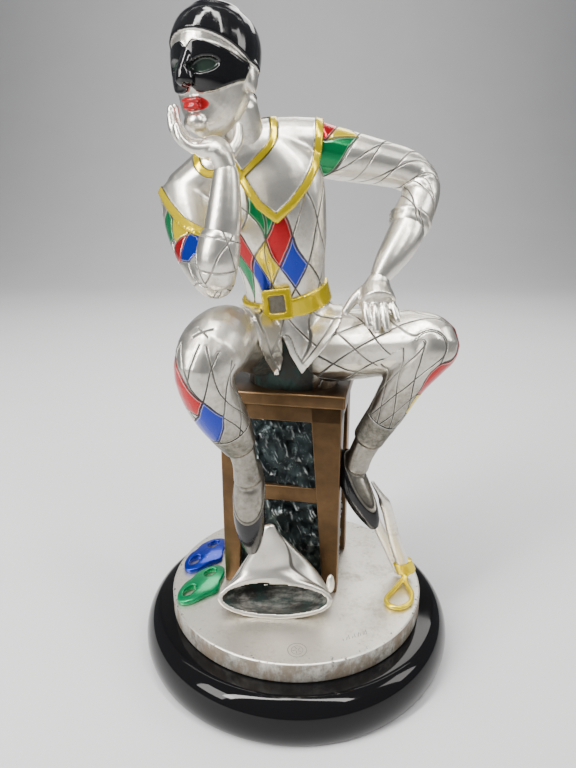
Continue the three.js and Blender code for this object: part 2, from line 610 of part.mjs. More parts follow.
function skirtSolid() {
  const hips = join([
    limb(TORSO.slice(0, 5), { side: SPINE_SIDE, sides: TORSO_SIDES, grow: SKIRT_RISE }),
    limb(RIGHT_THIGH, { sides: LEG_SIDES }),
    limb(LEFT_THIGH, { side: Y_AXIS, sides: LEG_SIDES }),
  ]);
  const front = solid(frontPrism(frontOutline(SKIRT_FRONT), -44 * SHARE, 9 * SHARE));
  const back = solid(frontPrism(frontOutline(SKIRT_BACK), 8 * SHARE, 60 * SHARE));
  return hips.intersect(front.add(back));
}

function handSolid(palm, fingers) {
  const lengths = fingers.map((finger) => limb(finger, { sides: 5, dome: 0.9 }));
  return join([limb(palm, { sides: 8 }), ...lengths]);
}

function figureSolid() {
  const body = join([
    limb(TORSO, { side: SPINE_SIDE, sides: TORSO_SIDES }),
    limb(YOKE, { side: Y_AXIS }),
    limb(NECK),
    limb(LEFT_SLEEVE, { side: Y_AXIS }),
    limb(LEFT_CUFF, { side: Y_AXIS }),
    limb(RIGHT_SLEEVE),
    limb(RIGHT_FORESLEEVE),
    limb(RIGHT_CUFF),
    limb(RIGHT_LEG, { sides: LEG_SIDES }),
    limb(LEFT_LEG, { side: Y_AXIS, sides: LEG_SIDES }),
    limb(RIGHT_ANKLE),
    limb(LEFT_ANKLE),
    limb(RIGHT_SHOE),
    limb(LEFT_SHOE),
  ]);
  const whole = join([body, headSolid(), collarSolid(), beltSolid(), skirtSolid(),
    handSolid(LEFT_PALM, LEFT_FINGERS), handSolid(RIGHT_PALM, RIGHT_FINGERS)]);
  return whole.subtract(stoolRoom).subtract(hatSolid(REST_GAP)).subtract(slapstickSolid(REST_GAP));
}

addPiece('figure', geometryOf(figureSolid()), SILVER, 0.3, 0.85);

export default object;
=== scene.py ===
"""A harlequin seated on a stool, on a round silver plate and a black plinth."""
import math
import bmesh
import bpy
import numpy as np
from mathutils import Matrix, Vector, noise


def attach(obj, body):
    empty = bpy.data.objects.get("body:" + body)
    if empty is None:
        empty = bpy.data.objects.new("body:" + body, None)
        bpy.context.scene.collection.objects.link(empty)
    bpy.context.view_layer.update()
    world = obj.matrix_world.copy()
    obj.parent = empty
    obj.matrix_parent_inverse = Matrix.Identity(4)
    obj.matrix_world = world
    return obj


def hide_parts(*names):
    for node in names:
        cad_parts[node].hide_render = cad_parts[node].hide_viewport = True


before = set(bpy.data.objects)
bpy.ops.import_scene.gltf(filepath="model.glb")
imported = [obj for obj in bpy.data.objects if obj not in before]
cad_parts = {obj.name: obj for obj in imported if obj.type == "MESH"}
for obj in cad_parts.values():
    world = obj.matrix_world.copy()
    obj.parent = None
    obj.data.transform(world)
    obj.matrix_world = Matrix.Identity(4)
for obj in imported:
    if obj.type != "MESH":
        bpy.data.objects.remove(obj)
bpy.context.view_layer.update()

# The view and the light. A short lens stands close in front of the statuette, a little above its
# head, and looks down on it. It stands on a plain pale floor, under two long soft lamps overhead
# and two wide ones at the sides.
MM = 0.001
VIEW_PLACE = (-5.4 * MM, -339.9 * MM, 280.3 * MM)
VIEW_PITCH = 17.63
LENS_MM = 18.75

bpy.ops.object.select_all(action="DESELECT")
bpy.ops.object.camera_add(location=VIEW_PLACE, rotation=(math.radians(90 - VIEW_PITCH), 0, 0))
view = bpy.context.object
view.name = "view"
view.data.sensor_fit = "VERTICAL"
view.data.sensor_height = 24.0
view.data.lens = LENS_MM
view.data.clip_start = 0.01
bpy.context.scene.camera = view


class Wire:
    """One output of a material's node. Arithmetic on it adds the Math nodes that it needs."""

    def __init__(self, tree, socket=None):
        self.tree = tree
        self.socket = socket

    def node(self, kind, settings=None, inputs=None, output=0):
        made = self.tree.nodes.new(kind)
        for name, value in (settings or {}).items():
            setattr(made, name, value)
        for key, value in (inputs or {}).items():
            socket = made.inputs[key]
            if isinstance(value, Wire):
                self.tree.links.new(value.socket, socket)
            elif isinstance(value, tuple) and len(socket.default_value) == 4:
                socket.default_value = (*value, 1.0)
            else:
                socket.default_value = value
        return Wire(self.tree, made.outputs[output] if made.outputs else None)

    def math(self, operation, *values):
        return self.node("ShaderNodeMath", {"operation": operation}, dict(enumerate(values)))

    def __add__(self, other):
        return self.math("ADD", self, other)

    def __sub__(self, other):
        return self.math("SUBTRACT", self, other)

    def __mul__(self, other):
        return self.math("MULTIPLY", self, other)

    def __gt__(self, other):
        return self.math("GREATER_THAN", self, other)

    def __lt__(self, other):
        return self.math("LESS_THAN", self, other)

    def __rsub__(self, other):
        return self.math("SUBTRACT", other, self)

    def __abs__(self):
        return self.math("ABSOLUTE", self)

    __radd__ = __add__
    __rmul__ = __mul__

    def least(self, other):
        return self.math("MINIMUM", self, other)

    def most(self, other):
        return self.math("MAXIMUM", self, other)

    def rise(self, low, high):
        """0 below low, 1 above high, and a soft step between them."""
        return self.node("ShaderNodeMapRange", {"interpolation_type": "SMOOTHSTEP"},
                         {"Value": self, "From Min": low, "From Max": high})

    def over(self, under, upper):
        """Two colours, the upper one where this value is 1."""
        return self.node("ShaderNodeMix", {"data_type": "RGBA"}, {0: self, 6: under, 7: upper}, 2)

    def between(self, under, upper):
        """Two numbers, the upper one where this value is 1."""
        return self.node("ShaderNodeMix", {"data_type": "FLOAT"}, {0: self, 2: under, 3: upper}, 0)

    def place(self):
        return self.node("ShaderNodeTexCoord", output="Object")

    def axes(self, vector):
        parts = self.node("ShaderNodeSeparateXYZ", inputs={"Vector": vector}).socket.node
        return [Wire(self.tree, socket) for socket in parts.outputs]

    def cloud(self, scale, detail=3.0, roughness=0.55, stretch=None):
        """Soft noise from 0 to 1 with its middle at 0.5, so many to the metre."""
        place = self.place()
        if stretch:
            place = self.node("ShaderNodeMapping", inputs={"Vector": place, "Scale": stretch})
        return self.node("ShaderNodeTexNoise",
                         inputs={"Vector": place, "Scale": scale, "Detail": detail, "Roughness": roughness})

    def held(self, name):
        """A number that the mesh holds at its points."""
        return self.node("ShaderNodeAttribute", {"attribute_name": name}, output="Fac")


def finish_of(name):
    """A new empty material, and the wire from which its nodes are made."""
    material = bpy.data.materials.new(name)
    material.use_nodes = True
    material.node_tree.nodes.clear()
    return material, Wire(material.node_tree)


def lay(bench, colour, roughness, metal=0.0, height=None, depth=0.3 * MM, coat=0.0, fixed=None):
    """Closes a material with one shader. height runs from 0 to 1 and bumps the surface by depth."""
    inputs = {"Base Color": colour, "Roughness": roughness, "Metallic": metal, "Coat Weight": coat}
    inputs.update(fixed or {})
    if height is not None:
        inputs["Normal"] = bench.node("ShaderNodeBump", inputs={"Height": height, "Distance": depth})
    shader = bench.node("ShaderNodeBsdfPrincipled", inputs=inputs)
    bench.node("ShaderNodeOutputMaterial", inputs={"Surface": shader})


pale, bench = finish_of("pale_floor")
grain = bench.cloud(6.0)
lay(bench, grain.over((0.60, 0.60, 0.61), (0.65, 0.65, 0.66)), 0.7)
bpy.ops.mesh.primitive_plane_add(size=5.0, location=(0, -1.0, 0))
floor = bpy.context.object
floor.name = "floor"
bpy.ops.object.transform_apply(location=True, rotation=True, scale=True)
bpy.ops.object.mode_set(mode="EDIT")
mesh = bmesh.from_edit_mesh(floor.data)
for vertex in mesh.verts:
    vertex.select = vertex.co.y > 0
mesh.select_flush(True)
bmesh.update_edit_mesh(floor.data)
bpy.ops.mesh.spin(steps=24, angle=math.radians(-90), center=(0, 1.5, 1.6), axis=(1, 0, 0))
bpy.ops.mesh.extrude_region_move(TRANSFORM_OT_translate={"value": (0, 0, 3.0)})
bpy.ops.mesh.select_all(action="SELECT")
bpy.ops.mesh.normals_make_consistent(inside=False)
bpy.ops.object.mode_set(mode="OBJECT")
bpy.ops.object.shade_smooth()
floor.data.materials.append(pale)


def lamp(name, place, aim, width, length, power, colour=(1.0, 0.98, 0.95)):
    """A rectangular soft lamp that faces the point that it is aimed at."""
    bpy.ops.object.light_add(type="AREA", location=place)
    light = bpy.context.object
    light.name = name
    light.data.shape = "RECTANGLE"
    light.data.size = width
    light.data.size_y = length
    light.data.energy = power
    light.data.color = colour
    light.rotation_euler = (Vector(aim) - Vector(place)).to_track_quat("-Z", "Y").to_euler()


lamp("lamp_over_left", (-0.55, -0.5, 1.25), (0, 0, 0.15), 0.16, 1.6, 29)
lamp("lamp_over_right", (0.25, -0.3, 1.35), (0, 0, 0.15), 0.16, 1.6, 18)
lamp("lamp_left", (-1.1, -0.7, 0.75), (0, 0, 0.2), 0.5, 0.7, 14)
lamp("lamp_right", (1.2, -0.2, 0.9), (0, 0, 0.2), 0.4, 0.7, 7)
lamp("lamp_back", (0.3, 1.0, 1.1), (0, 0, 0.2), 1.0, 0.4, 7)
lamp("lamp_wall", (0, 0.6, 1.6), (0, 2.4, 0.6), 2.4, 0.6, 34)

sky = bpy.data.worlds.new("studio")
bpy.context.scene.world = sky
sky.use_nodes = True
sky.node_tree.nodes["Background"].inputs["Color"].default_value = (0.60, 0.63, 0.68, 1.0)
sky.node_tree.nodes["Background"].inputs["Strength"].default_value = 0.30


# The plinth: a disc turned in wood, with a flat top and a full nose that tucks in at the foot. It
# is lacquered black and rubbed to a deep gloss, with dust and smears on it.
PLINTH_TOP = 27.5
PLINTH_WAIST = 11.0
PLINTH_RADIUS = 98.0
PLINTH_NOSE = 11.0
FOOT_TUCK = 5.0
LACQUER = (0.0045, 0.0045, 0.005)
BLACK = (0.005, 0.005, 0.006)


def bare():
    """Nothing selected, and no mesh open."""
    if bpy.context.mode != "OBJECT":
        bpy.ops.object.mode_set(mode="OBJECT")
    bpy.ops.object.select_all(action="DESELECT")


def open_mesh(piece):
    bare()
    piece.select_set(True)
    bpy.context.view_layer.objects.active = piece
    bpy.ops.object.mode_set(mode="EDIT")
    bpy.ops.mesh.select_all(action="DESELECT")


def settle(piece):
    """The place, turn and size of a piece go into its mesh."""
    bare()
    piece.select_set(True)
    bpy.context.view_layer.objects.active = piece
    bpy.ops.object.transform_apply(location=True, rotation=True, scale=True)


def modify(piece, kind, **settings):
    """Adds a modifier and applies it."""
    bare()
    bpy.context.view_layer.objects.active = piece
    piece.select_set(True)
    modifier = piece.modifiers.new(kind.lower(), kind)
    for name, value in settings.items():
        setattr(modifier, name, value)
    bpy.ops.object.modifier_apply(modifier=modifier.name)


def facing_out(piece):
    open_mesh(piece)
    bpy.ops.mesh.select_all(action="SELECT")
    bpy.ops.mesh.normals_make_consistent(inside=False)
    bare()


def keep(piece, name, material, slot, *nodes, angle=None):
    """Names a finished piece, smooths its shading, and ties it to the frame."""
    bare()
    piece.name = name
    piece.data.name = name
    piece.data.materials.clear()
    piece.data.materials.append(material)
    piece.select_set(True)
    bpy.context.view_layer.objects.active = piece
    if angle is None:
        bpy.ops.object.shade_smooth()
    else:
        bpy.ops.object.shade_smooth_by_angle(angle=math.radians(angle))
    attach(piece, "root")
    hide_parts(*nodes)


def turned(profile, sides):
    """A disc extruded ring by ring up a lathe profile of (radius, height) in millimetres."""
    bare()
    (radius, height), *rest = profile
    bpy.ops.mesh.primitive_circle_add(vertices=sides, radius=radius * MM, fill_type="NGON",
                                      location=(0, 0, height * MM))
    piece = bpy.context.object
    settle(piece)
    bpy.ops.object.mode_set(mode="EDIT")
    bpy.ops.mesh.select_all(action="SELECT")
    for next_radius, next_height in rest:
        lift = (next_height - height) * MM
        bpy.ops.mesh.extrude_region_move(TRANSFORM_OT_translate={"value": (0, 0, lift)})
        share = next_radius / radius
        bpy.ops.transform.resize(value=(share, share, 1), center_override=(0, 0, next_height * MM))
        radius, height = next_radius, next_height
    bare()
    facing_out(piece)
    return piece


def arc(centre_radius, centre_height, wide, high, start, end, steps):
    """Points of a quarter ellipse of a profile, by angle in degrees."""
    angles = np.radians(np.linspace(start, end, steps + 1))
    return [(centre_radius + wide * math.cos(a), centre_height + high * math.sin(a)) for a in angles]


lower_nose = arc(PLINTH_RADIUS - FOOT_TUCK, PLINTH_WAIST, FOOT_TUCK, PLINTH_WAIST, -90, 0, 8)
upper_nose = arc(PLINTH_RADIUS - PLINTH_NOSE, PLINTH_WAIST,
                 PLINTH_NOSE, PLINTH_TOP - PLINTH_WAIST, 0, 90, 14)
plinth = turned(lower_nose + upper_nose[1:], 192)

black_gloss, bench = finish_of("black_lacquer")
dust = bench.cloud(2600, 2.0).rise(0.72, 0.80) * bench.cloud(40).rise(0.45, 0.7)
smear = bench.cloud(25, 4.0, 0.65)
colour = (dust * 0.5).over(LACQUER, (0.16, 0.155, 0.15))
lay(bench, colour, 0.045 + smear.rise(0.45, 0.85) * 0.12 + dust * 0.3, coat=0.1,
    fixed={"Coat Roughness": 0.03, "Specular IOR Level": 0.2})
keep(plinth, "plinth_disc", black_gloss, "lacquer", "plinth", angle=40)


# The base plate: a round slab with a thin silver layer, soft at its edges. Its top is rubbed bright
# and has a round mark and a row of scratched strokes. Brown patina runs round its side and rim.
PLATE_LOW = 27.8
PLATE_TOP = 40.0
PLATE_RADIUS = 80.0
PLATE_EDGE = 1.2
SILVER_BRIGHT = (0.83, 0.795, 0.715)
SILVER_WARM = (0.47, 0.42, 0.335)
PATINA_DARK = (0.035, 0.034, 0.030)
PATINA_BROWN = (0.16, 0.105, 0.065)
PATINA_GREEN = (0.028, 0.050, 0.044)
# The grey of painted shade, with some grey tarnish, on the silver.
SILVER_SHADE_TARNISH = (0.10, 0.088, 0.063)
SILVER_ROUGHNESS = 0.31


def silver_layer(bench, hollow, wear=1.0):
    """Colour, roughness, metal share and height of rubbed silver, dark where the cloth can't reach.

    A piece may hold a number, from 0 to 1, where its silver is painted grey as shade, with some grey tarnish
    low on the legs; above 0.65 it is painted as dark as the patina in the hollows."""
    cloud = bench.cloud(70, 5.0, 0.6)
    mottle = bench.cloud(420, 4.0, 0.65)
    speck = bench.cloud(1500, 2.0, 0.5)
    # The held number paints shade: the silver turns grey, and above 0.65 as dark as the patina in its
    # hollows.
    dull = bench.held("dull")
    shade = hollow + (dull - 0.65).most(0.0) * 2.5
    shade = shade + (cloud - 0.5) * (0.5 * wear) + (mottle - 0.5) * (0.35 * wear)
    patina_and_shade = shade.rise(0.24, 0.80)
    tarnish = (cloud * 0.6 + mottle * 0.4).rise(0.47, 0.66) * (0.6 * wear)
    pits = speck.rise(0.68, 0.74) * mottle.rise(0.50, 0.60)
    colour = tarnish.over(SILVER_BRIGHT, SILVER_WARM)
    colour = (dull * (0.75 + mottle * 0.5)).least(1.0).over(colour, SILVER_SHADE_TARNISH)
    colour = (pits * 0.75).over(colour, PATINA_BROWN)
    dark = bench.cloud(110, 3.0).rise(0.42, 0.62).over(PATINA_DARK, PATINA_GREEN)
    colour = patina_and_shade.over(colour, dark)
    roughness = SILVER_ROUGHNESS + tarnish * 0.20 + patina_and_shade * 0.30 + pits * 0.2
    metal = 1.0 - patina_and_shade * 0.55 - pits * 0.4
    height = mottle * 0.45 + speck * 0.12 - patina_and_shade * 0.35 - pits * 0.3
    return colour, roughness, metal, height, cloud, mottle


plate_profile = ([(PLATE_RADIUS - PLATE_EDGE, PLATE_LOW)]
                 + arc(PLATE_RADIUS - PLATE_EDGE, PLATE_LOW + PLATE_EDGE, PLATE_EDGE, PLATE_EDGE, -60, 0, 3)
                 + arc(PLATE_RADIUS - PLATE_EDGE, PLATE_TOP - PLATE_EDGE, PLATE_EDGE, PLATE_EDGE, 0, 90, 6))
plate = turned(plate_profile, 192)

silver_plate, bench = finish_of("silver_plate")
place = bench.place()
x, y, z = bench.axes(place)
radius = bench.math("SQRT", x * x + y * y)
rim = radius.rise(0.0745, 0.0790)
side = (z < (PLATE_TOP - 0.6) * MM)
streaks = bench.cloud(90, 4.0, 0.7, stretch=(1.0, 1.0, 0.45))
specks = bench.cloud(300, 3.0, 0.6).rise(0.60, 0.66) * radius.rise(0.060, 0.078) * (1.0 - side)
hollow = side * (0.26 + streaks * 0.56) + rim * streaks * 0.45 * (1.0 - side) + specks * 0.5
colour, roughness, metal, height, cloud, mottle = silver_layer(bench, hollow, 0.9)
stain = side * streaks.rise(0.42, 0.60)
colour = (stain * 0.75).over(colour, (0.27, 0.21, 0.15))
brushed = bench.cloud(900, 2.0, 0.5, stretch=(1.0, 0.4, 1.0))


def stroke(x0, y0, x1, y1, wide):
    """1 on a thin scratched line between two points of the plate's top, in millimetres."""
    length = math.hypot(x1 - x0, y1 - y0)
    dx, dy = (x1 - x0) / length, (y1 - y0) / length
    along = (x - x0 * MM) * dx + (y - y0 * MM) * dy
    beside = abs((x - x0 * MM) * -dy + (y - y0 * MM) * dx)
    return (beside < wide * MM) * (along > 0.0) * (along < length * MM)


MARK_X, MARK_Y, MARK_RADIUS = -0.4, -68.7, 5.2
ROW_X, ROW_Y, ROW_STROKES = 26.0, -61.5, 9
aside, ahead = x - MARK_X * MM, y - MARK_Y * MM
from_mark = bench.math("SQRT", aside * aside + ahead * ahead)
scratched = abs(from_mark - MARK_RADIUS * MM) < 0.2 * MM
scratched = scratched.most(abs(from_mark - MARK_RADIUS * 0.62 * MM) < 0.15 * MM)
for spoke in range(5):
    near = math.radians(20 + 72 * spoke)
    far = near + 0.5
    scratched = scratched.most(stroke(MARK_X + 0.7 * math.cos(near), MARK_Y + 0.7 * math.sin(near),
                                      MARK_X + 2.6 * math.cos(far), MARK_Y + 2.6 * math.sin(far), 0.2))
for step in range(ROW_STROKES):
    lean = 0.6 if step % 2 else -0.4
    tall = 1.8 + 0.8 * (step * 7 % 3)
    start_x, start_y = ROW_X + 1.7 * step, ROW_Y + 0.7 * step
    scratched = scratched.most(stroke(start_x, start_y, start_x + lean, start_y + tall, 0.19))
top = 1.0 - side
scratched = scratched * top
colour = (scratched * 0.8).over(colour, (0.09, 0.08, 0.07))
lay(bench, colour, roughness + 0.13 + scratched * 0.2, metal - scratched * 0.5,
    height + brushed * 0.12 - scratched * 1.4, 0.10 * MM)
keep(plate, "plate_slab", silver_plate, "silver", "base_plate", angle=35)


# The stool: a slab seat on an apron and four legs that taper on their inner sides, with a rung
# half-way down each side. It is cast in one with rough dark panels between the legs, and has a
# brown bronze tone that is rubbed bright along the edges.
STOOL_WIDTH = 72.5
STOOL_DEPTH = 58.0
STOOL_HEIGHT = 131.0
STOOL_TURN = -11.0
STOOL_X = -5.0
STOOL_Y = 16.0
STOOL_FOOT = 40.3
SEAT_THICKNESS = 8.0
SEAT_OVERHANG = 2.2
APRON_HEIGHT = 9.5
LEG_FOOT = 9.0
LEG_HEAD = 18.0
RUNG_HEIGHT = 9.6
RUNG_LEVEL = 61.0
PANEL_RECESS = 3.2
ROCK_SEED = 5


def block(width, depth, height, x, y, z, edge):
    """A cube set to its size and place, with its edges bevelled."""
    bare()
    bpy.ops.mesh.primitive_cube_add(size=1.0, location=(x * MM, y * MM, z * MM))
    piece = bpy.context.object
    piece.scale = (width * MM, depth * MM, height * MM)
    settle(piece)
    if edge:
        modify(piece, "BEVEL", width=edge * MM, segments=3, limit_method="ANGLE")
    return piece


def tapered_leg(sign_x, sign_y):
    """A square leg whose lower end is drawn in on its two inner sides."""
    height = STOOL_HEIGHT - SEAT_THICKNESS + 1.0
    middle_x = sign_x * (STOOL_WIDTH - LEG_HEAD) / 2
    middle_y = sign_y * (STOOL_DEPTH - LEG_HEAD) / 2
    leg = block(LEG_HEAD, LEG_HEAD, height, middle_x, middle_y, height / 2, 0)
    open_mesh(leg)
    mesh = bmesh.from_edit_mesh(leg.data)
    for vertex in mesh.verts:
        vertex.select = vertex.co.z < 0.5 * MM
    mesh.select_flush_mode()
    bmesh.update_edit_mesh(leg.data)
    share = LEG_FOOT / LEG_HEAD
    corner = (sign_x * STOOL_WIDTH / 2 * MM, sign_y * STOOL_DEPTH / 2 * MM, 0)
    bpy.ops.transform.resize(value=(share, share, 1), center_override=corner)
    bare()
    modify(leg, "BEVEL", width=0.6 * MM, segments=3, limit_method="ANGLE")
    return leg


def joined(pieces):
    """Several objects made one."""
    bare()
    for piece in pieces:
        piece.select_set(True)
    bpy.context.view_layer.objects.active = pieces[0]
    bpy.ops.object.join()
    return bpy.context.object


def to_stool_place(piece):
    bare()
    piece.rotation_euler = (0, 0, math.radians(STOOL_TURN))
    piece.location = (STOOL_X * MM, STOOL_Y * MM, STOOL_FOOT * MM)
    settle(piece)


seat_width = STOOL_WIDTH + 2 * SEAT_OVERHANG
seat_depth = STOOL_DEPTH + 2 * SEAT_OVERHANG
apron_z = STOOL_HEIGHT - SEAT_THICKNESS - APRON_HEIGHT / 2
rung_face = 2 * PANEL_RECESS * 0.35
frame_parts = [
    block(seat_width, seat_depth, SEAT_THICKNESS, 0, 0, STOOL_HEIGHT - SEAT_THICKNESS / 2, 1.3),
    block(STOOL_WIDTH, STOOL_DEPTH, APRON_HEIGHT, 0, 0, apron_z, 0.5),
    block(STOOL_WIDTH - rung_face, STOOL_DEPTH - rung_face, RUNG_HEIGHT, 0, 0,
          RUNG_LEVEL + RUNG_HEIGHT / 2, 0.5),
]
frame_parts += [tapered_leg(sign_x, sign_y) for sign_x in (-1, 1) for sign_y in (-1, 1)]
stool_frame = joined(frame_parts)
to_stool_place(stool_frame)

bronze, bench = finish_of("bronze_tone")
place = bench.place()
along = bench.node("ShaderNodeMapping", inputs={"Vector": place, "Scale": (1.0, 1.0, 0.3)})
grainy = bench.node("ShaderNodeTexNoise", inputs={"Vector": along, "Scale": 260.0, "Detail": 5.0,
                                                  "Roughness": 0.7})
across = bench.cloud(240, 4.0, 0.65, stretch=(0.22, 1.0, 1.6))
cloud = bench.cloud(55, 4.0, 0.6)
edge = bench.node("ShaderNodeNewGeometry", output="Pointiness").rise(0.53, 0.60)
colour = (cloud * 0.7 + across * 0.35).rise(0.38, 0.72).over((0.005, 0.0025, 0.001), (0.030, 0.0145, 0.004))
colour = (grainy.rise(0.50, 0.75) * 0.4).over(colour, (0.052, 0.026, 0.008))
colour = (edge * (0.3 + cloud * 0.7)).over(colour, (0.72, 0.43, 0.21))
# Painted shadow: the back of the seat's top is painted near black, where the figure shades it.
_, back, height = bench.axes(place)
seat_top = (STOOL_FOOT + STOOL_HEIGHT) * MM
shade = back.rise(-4 * MM, 8 * MM) * height.rise(seat_top - MM, seat_top)
colour = (shade * 0.85).over(colour, (0.012, 0.014, 0.013))
lay(bench, colour, 0.34 + grainy * 0.16 - edge * 0.12, 0.8, grainy * 0.35 + across * 0.3, 0.14 * MM,
    fixed={"Specular IOR Level": 0.25})
keep(stool_frame, "stool_frame", bronze, "bronze", "stool", angle=35)


def points_of(piece):
    """The points of a mesh and their normals, as arrays in millimetres and units."""
    count = len(piece.data.vertices)
    places = np.empty(count * 3)
    piece.data.vertices.foreach_get("co", places)
    normals = np.empty(count * 3)
    piece.data.vertex_normals.foreach_get("vector", normals)
    return places.reshape(-1, 3) / MM, normals.reshape(-1, 3)


def press(piece, amount):
    """Every point moves along its normal by its own amount, in millimetres."""
    places, normals = points_of(piece)
    piece.data.vertices.foreach_set("co", ((places + normals * amount[:, None]) * MM).ravel())
    piece.data.update()


def chipped(place):
    """Height of broken rock at a place: each cell of it is a small tilted face."""
    cell = noise.voronoi(place)[1][0]
    tilt = noise.noise_vector(cell * 3.1)
    return tilt.dot(place - cell) * 1.3 + noise.noise(cell * 5.7) * 0.9


noise.seed_set(ROCK_SEED)
rock = block(STOOL_WIDTH - 2 * PANEL_RECESS, STOOL_DEPTH - 2 * PANEL_RECESS, 124.0, 0, 0, 62.0, 0)
open_mesh(rock)
bpy.ops.mesh.select_all(action="SELECT")
for _ in range(6):
    bpy.ops.mesh.subdivide(number_cuts=1)
bare()
to_stool_place(rock)
places, normals = points_of(rock)
rough = np.array([chipped(Vector(p) * 0.15) * 1.25 + 0.3 * chipped(Vector(p) * 0.42) for p in places])
press(rock, np.clip(rough * 2.0 - 0.4, -2.8, 2.2))

dark_rock, bench = finish_of("dark_panel")
# Painted glints: the pointed places of the rock get pale highlights painted into the colour, and its
# crevices are a little darker.
crevice_and_painted_glint = bench.node("ShaderNodeNewGeometry", output="Pointiness")
mottle = bench.cloud(330, 4.0, 0.6)
cloud = bench.cloud(90, 3.0)
colour = cloud.rise(0.35, 0.65).over((0.009, 0.012, 0.013), (0.024, 0.035, 0.036))
colour = (1.0 - crevice_and_painted_glint.rise(0.40, 0.50)).over(colour, (0.006, 0.014, 0.016))
colour = (crevice_and_painted_glint.rise(0.515, 0.57) * 0.8).over(colour, (0.42, 0.46, 0.46))
colour = (mottle.rise(0.56, 0.68) * 0.3).over(colour, (0.20, 0.24, 0.24))
lay(bench, colour, 0.26 + mottle * 0.2, 0.8, mottle + bench.cloud(900) * 0.3, 0.25 * MM)
keep(rock, "stool_panels", dark_rock, "bronze", "stool", angle=50)


# The tunic: the body of a harlequin's close-fitting suit, cast in one with the figure. It is cut all
# over with a lattice of engraved lines, and some of the lozenges between them are filled with glossy
# enamel. The rest is silver, rubbed bright, with dark patina left in the lines.
SEAT = 171.6
SIDE_X = Vector((1, 0, 0))
SIDE_Y = Vector((0, 1, 0))
SPINE_SIDE = Vector((0.96, 0.22, 0.18))
COARSENESS = 1.4
FAR = 9.0
ENAMELS = {
    "red": (0.46, 0.003, 0.008),
    "blue": (0.004, 0.026, 0.40),
    "green": (0.0, 0.23, 0.07),
    "yellow": (0.86, 0.66, 0.003),
}
TORSO = [
    [-1, 15, 4, 29, 23], [-2, 11, 17, 29, 24], [-3.5, 8, 32, 27, 21.5], [-6, 6, 45, 24, 18.5],
    [-7, 5, 56, 23.4, 17.6], [-9, 3.5, 71, 25, 19], [-12, 2, 86, 29, 20.5], [-17, 1, 102, 33.5, 21],
    [-21.5, 1, 116, 34, 18.5], [-25, 1, 127, 26, 15],
]
YOKE = [
    [-59, -8, 105.5, 13.5, 13], [-43, -4, 117, 15.5, 12.5], [-27, 0, 127, 15.5, 12],
    [-8, 5, 131.5, 14.5, 12], [9, 8, 132, 14, 13.5],
]


def in_between(stations, steps):
    """Stations with smooth ones between them, as rows of x, y, z, half width and half depth."""
    rows = np.array([[*s[:4], s[4] if len(s) > 4 else s[3], *s[5:]] for s in stations], dtype=float)
    rows = np.vstack([2 * rows[0] - rows[1], rows, 2 * rows[-1] - rows[-2]])
    found = []
    for a, b, c, d in zip(rows, rows[1:], rows[2:], rows[3:]):
        for t in np.arange(steps) / steps:
            found.append(0.5 * (2 * b + (c - a) * t + (2 * a - 5 * b + 4 * c - d) * t ** 2
                                + (3 * b - a - 3 * c + d) * t ** 3))
    return np.vstack([found, rows[-2]])


def frames_of(rows, side, origin):
    """For each station its centre, and the directions along, across and through it."""
    centres = rows[:, :3] + origin
    along = np.gradient(centres, axis=0)
    along /= np.linalg.norm(along, axis=1)[:, None]
    across = np.array(side) - along * (along @ np.array(side))[:, None]
    across /= np.linalg.norm(across, axis=1)[:, None]
    return centres, along, across, np.cross(along, across)


def add_ring(centre, along, across, through, wide, deep, sides):
    """One elliptical ring of edges in the open mesh."""
    turn = Matrix((across, through, along))
    bpy.ops.mesh.primitive_circle_add(vertices=sides, radius=wide * MM, location=Vector(centre) * MM,
                                      rotation=turn.transposed().to_euler())
    bpy.ops.transform.resize(value=(1, deep / wide, 1), orient_matrix=turn, orient_type="GLOBAL",
                             orient_matrix_type="GLOBAL", center_override=Vector(centre) * MM)


def loft(rings, sides):
    """A closed form through rings added in turn, each bridged to the last."""
    bare()
    bpy.ops.mesh.primitive_circle_add(vertices=3, radius=MM)
    piece = bpy.context.object
    bpy.ops.object.mode_set(mode="EDIT")
    bpy.ops.mesh.select_all(action="SELECT")
    bpy.ops.mesh.delete(type="VERT")
    for index, ring in enumerate(rings):
        add_ring(*ring, sides)
        if index:
            mesh = bmesh.from_edit_mesh(piece.data)
            last = (index - 1) * sides
            for edge in mesh.edges:
                first, second = edge.verts[0].index, edge.verts[1].index
                edge.select = min(first, second) >= last and first // sides == second // sides
            mesh.select_flush(True)
            bmesh.update_edit_mesh(piece.data)
            bpy.ops.mesh.bridge_edge_loops()
    for end in (0, len(rings) - 1):
        mesh = bmesh.from_edit_mesh(piece.data)
        for edge in mesh.edges:
            edge.select = edge.is_boundary and edge.verts[0].index // sides == end
        mesh.select_flush(True)
        bmesh.update_edit_mesh(piece.data)
        bpy.ops.mesh.edge_face_add()
    facing_out(piece)
    return piece


def limb(stations, side=SIDE_X, sides=20, steps=3, dome=0.55, grow=0.0, origin=(0, 0, SEAT)):
    """A closed form through elliptical stations, with smooth ones between them and rounded ends."""
    rows = in_between(stations, steps)
    rows[:, 3:] += grow
    centres, along, across, through = frames_of(rows, side, origin)
    rings = list(zip(centres, along, across, through, rows[:, 3], rows[:, 4]))
    for end, sign in ((0, -1), (-1, 1)):
        centre, ahead, aside, over, wide, deep = rings[end]
        for angle in (30, 58, 80) if dome else ():
            reach = sign * math.sin(math.radians(angle)) * dome * min(wide, deep)
            share = math.cos(math.radians(angle))
            extra = (centre + ahead * reach, ahead, aside, over, wide * share, deep * share)
            rings.insert(0, extra) if sign < 0 else rings.append(extra)
    return loft(rings, sides)


def fused(pieces, voxel, rounds=6):
    """Several closed forms made one skin of small even faces, and rubbed smooth.

    COARSENESS is set for the whole statuette, which keeps under a million triangles."""
    piece = joined(pieces)
    modify(piece, "REMESH", mode="VOXEL", voxel_size=voxel * COARSENESS * MM)
    if rounds:
        modify(piece, "SMOOTH", factor=0.5, iterations=rounds)
    return piece


